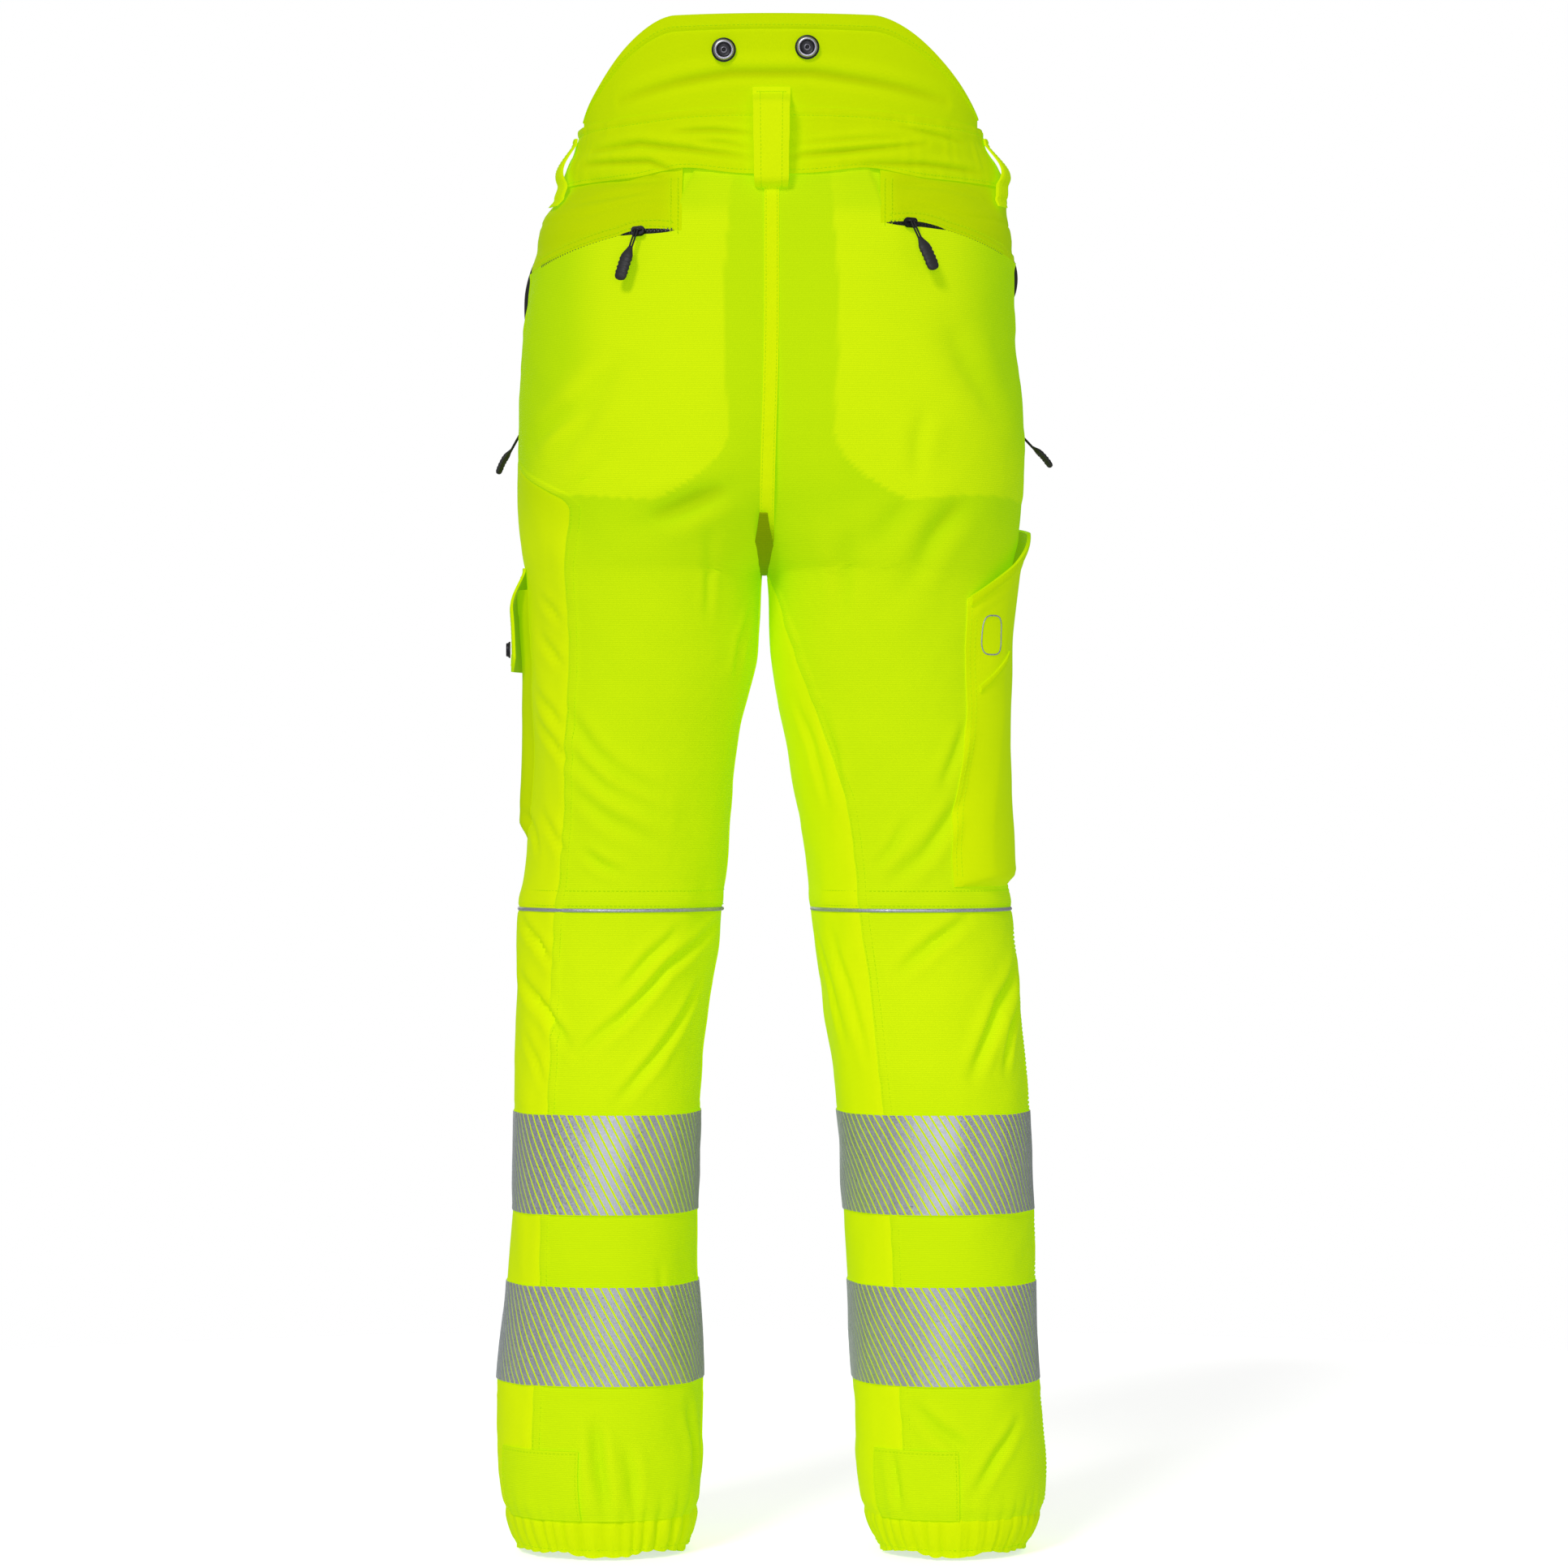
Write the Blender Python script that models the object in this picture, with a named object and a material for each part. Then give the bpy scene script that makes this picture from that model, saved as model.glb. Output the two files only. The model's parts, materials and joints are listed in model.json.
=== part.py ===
"""Saw-protection trousers with a raised kidney guard, as separate sewn and fitted pieces.

Metres, +Z up. The origin is the centre of the waist opening at the waistband's lower seam.
The wearer faces -Y, so the wearer's left is +X and the seat faces +Y.
Each trouser half is a stack of horizontal sections. A section is a superellipse, and a place
on it is an angle that runs 0 inner leg, 90 front, 180 outer leg, 270 back, 360 inner leg.
"""

import math

import bmesh
import bpy
from mathutils import Matrix, Vector

LEFT, RIGHT = 1, -1
SIDE_NAMES = {LEFT: "left", RIGHT: "right"}

# heights
GUARD_TOP_Z = 0.1165
WAIST_TOP_Z = 0.042
WAIST_SEAM_Z = 0.0
CROTCH_Z = -0.288
KNEE_Z = -0.545
CUFF_SEAM_Z = -1.001
HEM_Z = -1.026

# cloth
FABRIC = 0.0018
GAP = 0.0004
INSERT_THICKNESS = 0.006
INSERT_GAP = 0.0062
INSERT_TOP_Z = -0.13
ROUNDNESS = 2.2
KNEE_REACH = 0.085
CROTCH_SHIFT = 0.0065
GUSSET_HALF = 0.003
# the angle that a gap between two panels takes on a leg of mean radius 80 mm
SEAM_ANGLE = GAP / 0.08

# reflective bands, 75 mm tape
BAND_TOPS = {"upper": -0.697, "lower": -0.825}
BAND_HEIGHT = 0.075

# height, then left inner and outer, right inner and outer, front, back: the outline of the halves
OUTLINE = (
    (0.120, -0.146, 0.146, -0.158, 0.158, -0.112, 0.112),
    (0.042, -0.146, 0.146, -0.158, 0.158, -0.112, 0.106),
    (0.000, -0.146, 0.146, -0.158, 0.158, -0.116, 0.112),
    (-0.012, -0.138, 0.157, -0.146, 0.167, -0.118, 0.116),
    (-0.025, -0.128, 0.172, -0.132, 0.177, -0.120, 0.120),
    (-0.055, -0.112, 0.179, -0.112, 0.181, -0.124, 0.127),
    (-0.115, -0.098, 0.188, -0.098, 0.184, -0.128, 0.136),
    (-0.177, -0.078, 0.192, -0.080, 0.188, -0.128, 0.139),
    (-0.226, -0.052, 0.193, -0.058, 0.187, -0.124, 0.134),
    (-0.262, -0.024, 0.191, -0.034, 0.184, -0.118, 0.125),
    (-0.284, 0.000, 0.188, -0.012, 0.180, -0.112, 0.118),
    (-0.294, 0.0095, 0.186, -0.003, 0.178, -0.110, 0.114),
    (-0.350, 0.0125, 0.183, 0.000, 0.173, -0.104, 0.103),
    (-0.430, 0.030, 0.182, 0.012, 0.172, -0.098, 0.092),
    (-0.521, 0.0375, 0.186, 0.029, 0.175, -0.090, 0.080),
    (-0.558, 0.042, 0.190, 0.0325, 0.180, -0.087, 0.078),
    (-0.650, 0.0525, 0.191, 0.0445, 0.190, -0.078, 0.082),
    (-0.720, 0.056, 0.194, 0.0515, 0.194, -0.073, 0.084),
    (-0.826, 0.0585, 0.1995, 0.0575, 0.1975, -0.071, 0.080),
    (-0.900, 0.055, 0.205, 0.0615, 0.202, -0.072, 0.077),
    (-0.965, 0.056, 0.207, 0.0655, 0.205, -0.074, 0.076),
    (-1.001, 0.057, 0.203, 0.0685, 0.203, -0.073, 0.075),
    (-1.026, 0.063, 0.194, 0.079, 0.192, -0.066, 0.068),
)
TRUNK_LEVELS = (
    0.0, -0.012, -0.025, -0.05, -0.09, -0.14, -0.19, -0.23, -0.262, -0.282, -0.296, -0.33, -0.38, -0.42,
)

# above this height the seat panel's rows are squeezed below the pocket slit
SLIT_REACH_Z = -0.14

# the protective front wraps round the outside of the left leg and the inside of the right leg
WRAP_LEFT = math.radians(53)
WRAP_RIGHT = math.radians(60)
WRAP_LEFT_TOP_Z = -0.20

# back pocket zips: inner end, slider and outer end along X, height at the inner end, drop to the side
BACK_ZIPS = {
    LEFT: {"inner": 0.073, "slider": 0.097, "outer": 0.170, "z": -0.0445, "drop": 0.0225},
    RIGHT: {"inner": 0.085, "slider": 0.100, "outer": 0.172, "z": -0.0386, "drop": 0.0194},
}
YOKE_INNER = {LEFT: 0.068, RIGHT: 0.081}
SLIT_FLAT_LENGTH = 0.022
SLIT_OUTER = 0.178
SLIT_PROBE_Z = -0.045
ZIP_LIFT = 0.0026
TAPE_HALF_WIDTH = 0.005
TAPE_THICKNESS = 0.001

# colours, roughness, metallic
FINISHES = {
    "ripstop": ((0.57, 0.84, 0.005), 0.75, 0.0),
    "smooth": ((0.72, 0.86, 0.005), 0.70, 0.0),
    "reflective": ((0.62, 0.66, 0.62), 0.35, 0.4),
    "black": ((0.012, 0.012, 0.014), 0.55, 0.0),
    "metal": ((0.45, 0.44, 0.50), 0.30, 0.9),
    "padding": ((0.85, 0.85, 0.82), 0.95, 0.0),
}


# ---------------------------------------------------------------- curves and sections
def signed_power(value, power):
    return math.copysign(abs(value) ** power, value)


def mix(a, b, t):
    return a + (b - a) * t


def ease(t):
    t = min(1.0, max(0.0, t))
    return t * t * (3 - 2 * t)


def end_slope(near, far, near_step, far_step):
    slope = ((2 * near_step + far_step) * near - near_step * far) / (near_step + far_step)
    return slope if slope * near > 0 else 0.0


def monotone_slopes(xs, ys):
    steps = [xs[i + 1] - xs[i] for i in range(len(xs) - 1)]
    rises = [(ys[i + 1] - ys[i]) / steps[i] for i in range(len(steps))]
    slopes = [end_slope(rises[0], rises[1], steps[0], steps[1])]
    for i in range(1, len(rises)):
        flat = rises[i - 1] * rises[i] <= 0
        slopes.append(0.0 if flat else 2 / (1 / rises[i - 1] + 1 / rises[i]))
    slopes.append(end_slope(rises[-1], rises[-2], steps[-1], steps[-2]))
    return slopes


HEIGHTS = [row[0] for row in reversed(OUTLINE)]
COLUMNS = [[row[k] for row in reversed(OUTLINE)] for k in range(7)]
SLOPES = [monotone_slopes(HEIGHTS, column) for column in COLUMNS]


def outline(z, k):
    """Column k of the outline at height z, on a smooth curve through its rows."""
    z = min(HEIGHTS[-1], max(HEIGHTS[0], z))
    i = next(n for n in range(len(HEIGHTS) - 1) if z <= HEIGHTS[n + 1])
    h = HEIGHTS[i + 1] - HEIGHTS[i]
    t = (z - HEIGHTS[i]) / h
    start, end = COLUMNS[k][i], COLUMNS[k][i + 1]
    m0, m1 = SLOPES[k][i] * h, SLOPES[k][i + 1] * h
    return (
        (2 * t**3 - 3 * t**2 + 1) * start
        + (t**3 - 2 * t**2 + t) * m0
        + (3 * t**2 - 2 * t**3) * end
        + (t**3 - t**2) * m1
    )


def section(side, z):
    """Centre and half sizes of one half's section: centre x, half width, centre y, half depth."""
    inner, outer = (1, 2) if side == LEFT else (3, 4)
    low, high = outline(z, inner), outline(z, outer)
    front, back = outline(z, 5), outline(z, 6)
    return (low + high) / 2, (high - low) / 2, (front + back) / 2, (back - front) / 2


def seam_x(z):
    """The centre seam drifts towards the left leg on its way down to the crotch."""
    return CROTCH_SHIFT * ease((-0.10 - z) / 0.18)


def parting(side, z):
    """How far from x = 0, on its own side, a half stops at the centre seam."""
    half = mix(GAP, GUSSET_HALF, ease((-0.19 - z) / 0.055))
    return side * seam_x(z) + half


def start_angle(side, z):
    """The angle at which a section meets the centre seam, or 0 below the crotch."""
    cx, a, _, _ = section(side, z)
    u = (cx - parting(side, z)) / a
    return 0.0 if u >= 1 else math.acos(signed_power(u, ROUNDNESS / 2))


def back_angle(side, z, x):
    """The angle of the back surface's point at distance x from the centre plane."""
    cx, a, _, _ = section(side, z)
    u = min(1.0, max(-1.0, (x - cx) / a))
    return 2 * math.pi - math.acos(signed_power(-u, ROUNDNESS / 2))


def surface(side, z, angle, lift=0.0):
    """A point on a half's outer surface, moved out by lift."""
    cx, a, cy, b = section(side, z)
    c, s = -math.cos(angle), -math.sin(angle)
    rx, ry = signed_power(c, 2 / ROUNDNESS), signed_power(s, 2 / ROUNDNESS)
    normal = Vector((signed_power(rx, ROUNDNESS - 1) / a, signed_power(ry, ROUNDNESS - 1) / b)).normalized()
    return Vector((side * (cx + a * rx + normal.x * lift), cy + b * ry + normal.y * lift, z))


def surface_normal(side, z, angle):
    return (surface(side, z, angle, 0.01) - surface(side, z, angle)).normalized()


# ---------------------------------------------------------------- objects
def material(name):
    found = bpy.data.materials.get(name)
    if found:
        return found
    colour, roughness, metallic = FINISHES[name]
    made = bpy.data.materials.new(name)
    made.use_nodes = True
    shader = made.node_tree.nodes["Principled BSDF"]
    shader.inputs["Base Color"].default_value = (*colour, 1.0)
    shader.inputs["Roughness"].default_value = roughness
    shader.inputs["Metallic"].default_value = metallic
    made.diffuse_color = (*colour, 1.0)
    return made


def add_object(name, mesh, finish, parent=None):
    mesh.materials.append(material(finish))
    made = bpy.data.objects.new(name, mesh)
    bpy.context.scene.collection.objects.link(made)
    if parent:
        made.parent = parent
        made.matrix_parent_inverse = parent.matrix_world.inverted()
    return made


def add_empty(name, place):
    made = bpy.data.objects.new(name, None)
    made.location = place
    made.empty_display_size = 0.02
    bpy.context.scene.collection.objects.link(made)
    bpy.context.view_layer.update()
    return made


def closed_mesh(name, points, faces):
    mesh = bpy.data.meshes.new(name)
    mesh.from_pydata([tuple(p) for p in points], [], faces)
    bm = bmesh.new()
    bm.from_mesh(mesh)
    bmesh.ops.recalc_face_normals(bm, faces=bm.faces)
    bm.to_mesh(mesh)
    bm.free()
    return mesh


def shell_mesh(name, outer, inner, ring=False):
    """A thin closed solid between two grids of the same size; ring joins the last column to the first."""
    rows, cols = len(outer), len(outer[0])
    points = [p for grid in (outer, inner) for row in grid for p in row]
    depth = rows * cols
    faces = []
    spans = cols if ring else cols - 1
    for i in range(rows - 1):
        for j in range(spans):
            k = (j + 1) % cols
            quad = (i * cols + j, i * cols + k, (i + 1) * cols + k, (i + 1) * cols + j)
            faces.append(quad)
            faces.append(tuple(depth + v for v in reversed(quad)))
    for i, flip in ((0, False), (rows - 1, True)):
        for j in range(spans):
            a, b = i * cols + j, i * cols + (j + 1) % cols
            quad = (b, a, depth + a, depth + b)
            faces.append(quad[::-1] if flip else quad)
    if not ring:
        for j, flip in ((0, True), (cols - 1, False)):
            for i in range(rows - 1):
                a, b = i * cols + j, (i + 1) * cols + j
                quad = (b, a, depth + a, depth + b)
                faces.append(quad[::-1] if flip else quad)
    return closed_mesh(name, points, faces)


def even(count):
    return [n / count for n in range(count + 1)]


def patch(name, side, span, levels, columns, finish, lift=0.0, thickness=FABRIC, parent=None):
    """A piece of cloth on one half: span(z) gives its edge angles, levels(f) its heights at fraction f."""
    grids = []
    for offset in (lift, lift - thickness):
        by_column = []
        for f in columns:
            heights = levels(f)
            by_column.append([surface(side, z, mix(*span(z), f), offset) for z in heights])
        grids.append([list(row) for row in zip(*by_column)])
    return add_object(name, shell_mesh(name, *grids), finish, parent)


def ring_patch(name, side, heights, sides, finish, lift=0.0, thickness=FABRIC, parent=None, gather=0.0):
    """A closed band round one leg. gather is the depth of the folds that run down it."""
    grids = []
    for offset in (lift, lift - thickness):
        grid = []
        for z in heights:
            row = []
            for n in range(sides):
                fold = gather if n % 2 else -gather
                row.append(surface(side, z, 2 * math.pi * n / sides, offset + fold))
            grid.append(row)
        grids.append(grid)
    return add_object(name, shell_mesh(name, *grids, ring=True), finish, parent)


def prism_mesh(name, outline_points, direction, half):
    """A polygon pushed out by half to each side along direction."""
    n = len(outline_points)
    points = [p + direction * half for p in outline_points] + [p - direction * half for p in outline_points]
    faces = [tuple(range(n)), tuple(reversed(range(n, 2 * n)))]
    faces += [(i, i + n, (i + 1) % n + n, (i + 1) % n) for i in range(n)]
    return closed_mesh(name, points, faces)


# ---------------------------------------------------------------- body panels
def front_span(side):
    def span(z):
        start = start_angle(side, z)
        end = math.pi
        if side == LEFT:
            end += WRAP_LEFT * ease((WRAP_LEFT_TOP_Z - z) / 0.05)
        if side == RIGHT and start == 0.0:
            start = -wrap_right(z)
        return start + (SEAM_ANGLE if z < CROTCH_Z - 0.004 else 0.0), end - SEAM_ANGLE
    return span


def wrap_right(z):
    """The right leg's wrap grows from the crotch down."""
    below = (CROTCH_Z - 0.006 - z) / 0.17
    return WRAP_RIGHT * min(1.0, max(0.0, below)) ** 0.45


def seat_span(side):
    def span(z):
        start, end = front_span(side)(z)
        low_end = 2 * math.pi - start_angle(side, z)
        if start_angle(side, z) == 0.0:
            low_end = 2 * math.pi + start - 2 * SEAM_ANGLE
        return end + 2 * SEAM_ANGLE, low_end
    return span


def trunk_levels(bottom):
    heights = [z - GAP if z == 0 else z for z in TRUNK_LEVELS]
    return [z for z in heights if z > bottom + 0.01] + [bottom]


def zip_height(side, x):
    """Height of the back pocket's slit at distance x from the centre plane."""
    spec = BACK_ZIPS[side]
    flat_to = spec["inner"] + SLIT_FLAT_LENGTH
    t = min(1.0, max(0.0, (x - flat_to) / (SLIT_OUTER - flat_to)))
    return spec["z"] - spec["drop"] * t**1.5


def seat_levels(side):
    """Seat panel heights by column: its top edge follows the pocket slit, and the waist near the middle."""
    bottom = KNEE_Z + KNEE_REACH + GAP

    def levels(f):
        start, end = seat_span(side)(SLIT_PROBE_Z)
        x = abs(surface(side, SLIT_PROBE_Z, mix(start, end, f)).x)
        top = -GAP if x < YOKE_INNER[side] - 0.0005 else zip_height(side, x) - GAP
        squeeze = (top - SLIT_REACH_Z) / (WAIST_SEAM_Z - GAP - SLIT_REACH_Z)
        above = [max(0.0, z - SLIT_REACH_Z) for z in trunk_levels(bottom)]
        return [z - rise + rise * squeeze for z, rise in zip(trunk_levels(bottom), above)]
    return levels


def seat_columns(side):
    """Column fractions with a pair either side of the yoke's inner edge."""
    start, end = seat_span(side)(SLIT_PROBE_Z)
    edge = (back_angle(side, SLIT_PROBE_Z, YOKE_INNER[side]) - start) / (end - start)
    just_in = (back_angle(side, SLIT_PROBE_Z, YOKE_INNER[side] - 0.003) - start) / (end - start)
    return [edge * n / 5 for n in range(6)] + [mix(just_in, 1.0, n / 3) for n in range(4)]


def build_body_panels():
    thigh_bottom = KNEE_Z + KNEE_REACH + GAP
    for side, label in SIDE_NAMES.items():
        heights = trunk_levels(thigh_bottom)
        patch("front_panel_" + label, side, front_span(side), lambda f: heights, even(10), "smooth")
        patch("seat_panel_" + label, side, seat_span(side), seat_levels(side), seat_columns(side), "ripstop")
        build_yoke(side, label)
        build_insert("cut_insert_thigh_" + label, side, [z for z in heights if z < INSERT_TOP_Z])


def build_yoke(side, label):
    def span(z):
        return math.pi + SEAM_ANGLE, back_angle(side, z, YOKE_INNER[side] + 0.0008)

    def levels(f):
        start, end = span(SLIT_PROBE_Z)
        x = abs(surface(side, SLIT_PROBE_Z, mix(start, end, f)).x)
        return [mix(-GAP, zip_height(side, x) + GAP, t) for t in even(3)]
    patch("back_yoke_" + label, side, span, levels, even(6), "smooth")


def build_insert(name, side, heights, parent=None):
    """The many-layered saw-stopping pad behind the front panel."""
    def span(z):
        start, end = front_span(side)(z)
        return start + math.radians(7), end - math.radians(4)
    lift = -FABRIC - INSERT_GAP
    patch(name, side, span, lambda f: heights, even(12), "padding", lift, INSERT_THICKNESS, parent)


def centre_surface_y(z, face):
    """The outermost y of both halves near the centre plane, on the back (face 1) or the front (face -1)."""
    values = []
    for side in (LEFT, RIGHT):
        for x in (parting(side, z) + 0.0002, CROTCH_SHIFT):
            cx, a, cy, b = section(side, z)
            u = min(1.0, abs((x - cx) / a))
            values.append(face * cy + b * (1 - u**ROUNDNESS) ** (1 / ROUNDNESS))
    return face * max(values)


def build_centre_back_seam():
    """The felled strip over the centre seam of the seat."""
    grids = []
    for offset in (0.0017, 0.0006):
        grid = []
        for t in even(10):
            z = mix(-GAP, -0.249, t)
            y = centre_surface_y(z, 1) + offset
            grid.append([Vector((x, y, z)) for x in (0.0055, 0.0, -0.0055)])
        grids.append(grid)
    add_object("centre_back_seam", shell_mesh("centre_back_seam", *grids), "smooth")


def front_angle(side, z, x):
    """The angle of the front surface's point at distance x from the centre plane."""
    return 2 * math.pi - back_angle(side, z, x)


def build_fly_placket():
    """The facing stitched beside the fly's zip, on the wearer's left."""
    patch(
        "fly_placket", LEFT, lambda z: (front_angle(LEFT, z, 0.0095), front_angle(LEFT, z, 0.040)),
        lambda f: trunk_levels(FLY_PLACKET_END_Z)[:7], even(3), "smooth", 0.0034, 0.0018,
    )


def spine_y(side, z, face):
    cx, a, cy, b = section(side, z)
    u = min(1.0, max(0.0, (cx - parting(side, z)) / a))
    return cy + face * b * (1 - u**ROUNDNESS) ** (1 / ROUNDNESS)


def build_crotch_gusset():
    """A narrow saddle that closes the centre seam under the crotch, from seat to fly."""
    heights = (-0.252, -0.262, -0.272, -0.279, -0.284, -0.2875)
    backs = [(spine_y(LEFT, z, 1), z) for z in heights]
    fronts = [(spine_y(LEFT, z, -1), z) for z in reversed(heights)]
    path = backs + [(0.0, CROTCH_Z - 0.002)] + fronts
    grids = []
    for depth in (0.0, FABRIC):
        grid = []
        for y, z in path:
            inward = Vector((-y * 0.6, 0.06)).normalized() * depth
            half = parting(LEFT, z) - seam_x(z) - GAP
            grid.append([Vector((seam_x(z) + x, y + inward.x, z + inward.y)) for x in (-half, half)])
        grids.append(grid)
    add_object("crotch_gusset", shell_mesh("crotch_gusset", *grids), "ripstop")


# ---------------------------------------------------------------- waist
def band_point(z, azimuth, lift):
    """A point round the whole waist. Azimuth 0 is the back, 90 the left side, -90 the right side."""
    side = LEFT if azimuth >= 0 else RIGHT
    return surface(side, z, 1.5 * math.pi - abs(azimuth), lift)


def waist_piece(name, azimuths, heights_at, finish, lift=0.0, thickness=0.0022):
    grids = []
    for offset in (lift, lift - thickness):
        columns = [[band_point(z, w, offset) for z in heights_at(w)] for w in azimuths]
        grids.append([list(row) for row in zip(*columns)])
    return add_object(name, shell_mesh(name, *grids), finish)


def degrees(start, end, count):
    return [math.radians(mix(start, end, t)) for t in even(count)]


def guard_top(azimuth):
    """Height of the kidney guard's edge: flat in the middle, sweeping down to the sides."""
    x = abs(band_point(0.06, azimuth, 0.0).x)
    flat, reach = (0.069, 0.069) if azimuth >= 0 else (0.070, 0.081)
    t = min(0.985, max(0.0, (x - flat) / reach))
    return 0.043 + (GUARD_TOP_Z - 0.043) * (1 - t**1.7) ** 0.85


def build_waist():
    def band(w):
        return (WAIST_TOP_Z, (WAIST_TOP_Z + WAIST_SEAM_Z) / 2, WAIST_SEAM_Z)

    def guard(w):
        return [mix(guard_top(w), WAIST_TOP_Z + GAP, t) for t in even(4)]

    waist_piece("waistband_back", degrees(-88, 88, 16), band, "smooth")
    waist_piece("waistband_front_left", degrees(88.6, 179.6, 8), band, "smooth")
    waist_piece("waistband_front_right", degrees(-88.6, -179.6, 8), band, "smooth")
    waist_piece("kidney_guard", degrees(-68, 67, 16), guard, "smooth")


def belt_loop(name, foot_low, foot_high, out, width, stand_off):
    """A strap sewn down at two feet. foot_low and foot_high are points on the cloth below it."""
    along = out.cross(Vector((0, 0, 1))).normalized()
    thick, foot, rise = 0.0018, 0.005, 0.005
    low, high = foot_low.dot(out), foot_high.dot(out)
    base = foot_low - out * low
    crest = max(low, high) + stand_off
    z0, z1 = foot_low.z, foot_high.z
    path = [(low, z0), (low, z0 + foot), (crest, z0 + foot + rise), (crest, z1 - foot - rise)]
    path += [(high, z1 - foot), (high, z1)]
    back = [(d + thick, z) for d, z in reversed(path)]
    points = [Vector((base.x, base.y, z)) + out * d for d, z in path + back]
    add_object(name, prism_mesh(name, points, along, width / 2), "smooth")


def build_belt_loops():
    on_strip = centre_surface_y(-0.018, 1) + 0.0024
    on_guard = band_point(0.06, 0.0, 0.0).y + 0.0008
    belt_loop(
        "belt_loop_back", Vector((0.0006, on_strip, -0.0195)), Vector((0.0006, on_guard, 0.0615)),
        Vector((0, 1, 0)), 0.0275, 0.0065,
    )
    for side, label in SIDE_NAMES.items():
        edge = abs(band_point(0.02, side * math.radians(82), 0.0).x) + 0.0012
        y = band_point(0.02, side * math.radians(82), 0.0).y
        belt_loop(
            "belt_loop_side_" + label, Vector((side * edge, y, 0.001)), Vector((side * edge, y, 0.038)),
            Vector((side, 0, 0)), 0.018, 0.0085,
        )
        face = band_point(0.02, side * math.radians(160), 0.0)
        front = -outer_front(side, face.x) - 0.0014
        belt_loop(
            "belt_loop_front_" + label, Vector((face.x, front, 0.001)), Vector((face.x, front, 0.038)),
            Vector((0, -1, 0)), 0.014, 0.0085,
        )


def outer_front(side, x):
    """How far forward the waistband reaches under a front belt loop."""
    cx, a, cy, b = section(side, WAIST_SEAM_Z)
    u = (abs(x) - 0.007 - cx) / a
    return b * (1 - abs(u) ** ROUNDNESS) ** (1 / ROUNDNESS) - cy


def turned_mesh(name, profile, sides):
    """A profile of (radius, height) points turned about local Z, closed on the axis at both ends."""
    points = [Vector((0, 0, profile[0][1]))]
    for r, h in profile:
        points += [Vector((r * math.cos(t), r * math.sin(t), h)) for t in ring_angles(sides)]
    points.append(Vector((0, 0, profile[-1][1])))
    faces = []
    for j in range(sides):
        k = (j + 1) % sides
        faces.append((0, 1 + k, 1 + j))
        for i in range(len(profile) - 1):
            a, b = 1 + i * sides, 1 + (i + 1) * sides
            faces.append((a + j, a + k, b + k, b + j))
        last = 1 + (len(profile) - 1) * sides
        faces.append((last + j, last + k, len(points) - 1))
    mesh = closed_mesh(name, points, faces)
    mesh.shade_smooth()
    mesh.set_sharp_from_angle(angle=math.radians(35))
    return mesh


def ring_angles(sides):
    return [2 * math.pi * n / sides for n in range(sides)]


STUD_RADIUS = 0.009
STUD_HEIGHT = 0.0032
STUD_RIM = 0.0055


def stud(name, place, outward, radius=STUD_RADIUS, finish="metal", parent=None):
    """A press stud: a flanged disc whose flat rim surrounds a shallow cup."""
    rim = radius * STUD_RIM / STUD_RADIUS
    profile = [
        (radius, 0.0), (radius, 0.0012), (radius * 0.86, 0.0016), (radius * 0.82, STUD_HEIGHT),
        (rim, STUD_HEIGHT), (rim * 0.85, STUD_HEIGHT - 0.0014), (0.001, STUD_HEIGHT - 0.0014),
    ]
    made = add_object(name, turned_mesh(name, profile, 18), finish)
    made.rotation_euler = Vector((0, 0, 1)).rotation_difference(outward).to_euler()
    made.location = place
    if parent:
        bpy.context.view_layer.update()
        made.parent = parent
        made.matrix_parent_inverse = parent.matrix_world.inverted()
    return made


BRACE_STUDS_BACK = {LEFT: (0.0358, 0.0898), RIGHT: (0.0257, 0.0916)}
BRACE_STUD_FRONT = (0.088, 0.021)


def flat_seat(side, x, z, face):
    """The outermost y under a stud at x, so that its flat back clears the curved cloth."""
    low = max(0.0, abs(x) - STUD_RADIUS)
    cx, a, cy, b = section(side, z)
    reach = b * (1 - (low / a) ** ROUNDNESS) ** (1 / ROUNDNESS)
    return cy + face * (reach + GAP + 0.0006)


def build_fasteners():
    for side, label in SIDE_NAMES.items():
        x, z = BRACE_STUDS_BACK[side]
        place = Vector((side * x, flat_seat(side, x, z + STUD_RADIUS, 1), z))
        stud("brace_stud_back_" + label, place, Vector((0, 1, 0)))
        x, z = BRACE_STUD_FRONT
        place = Vector((side * x, flat_seat(side, x, WAIST_SEAM_Z, -1), z))
        stud("brace_stud_front_" + label, place, Vector((0, -1, 0)))
    place = Vector((0.0, flat_seat(LEFT, 0.0, WAIST_SEAM_Z, -1), 0.021))
    stud("waist_button", place, Vector((0, -1, 0)), 0.0085)


# ---------------------------------------------------------------- zips
def circle_through(a, b, c):
    """Centre and unit axis of the circle through three points, turning from a to c."""
    ab, ac = b - a, c - a
    axis = ab.cross(ac)
    offset = axis.cross(ab) * ac.length_squared + ac.cross(axis) * ab.length_squared
    return a + offset / (2 * axis.length_squared), axis.normalized()


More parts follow.
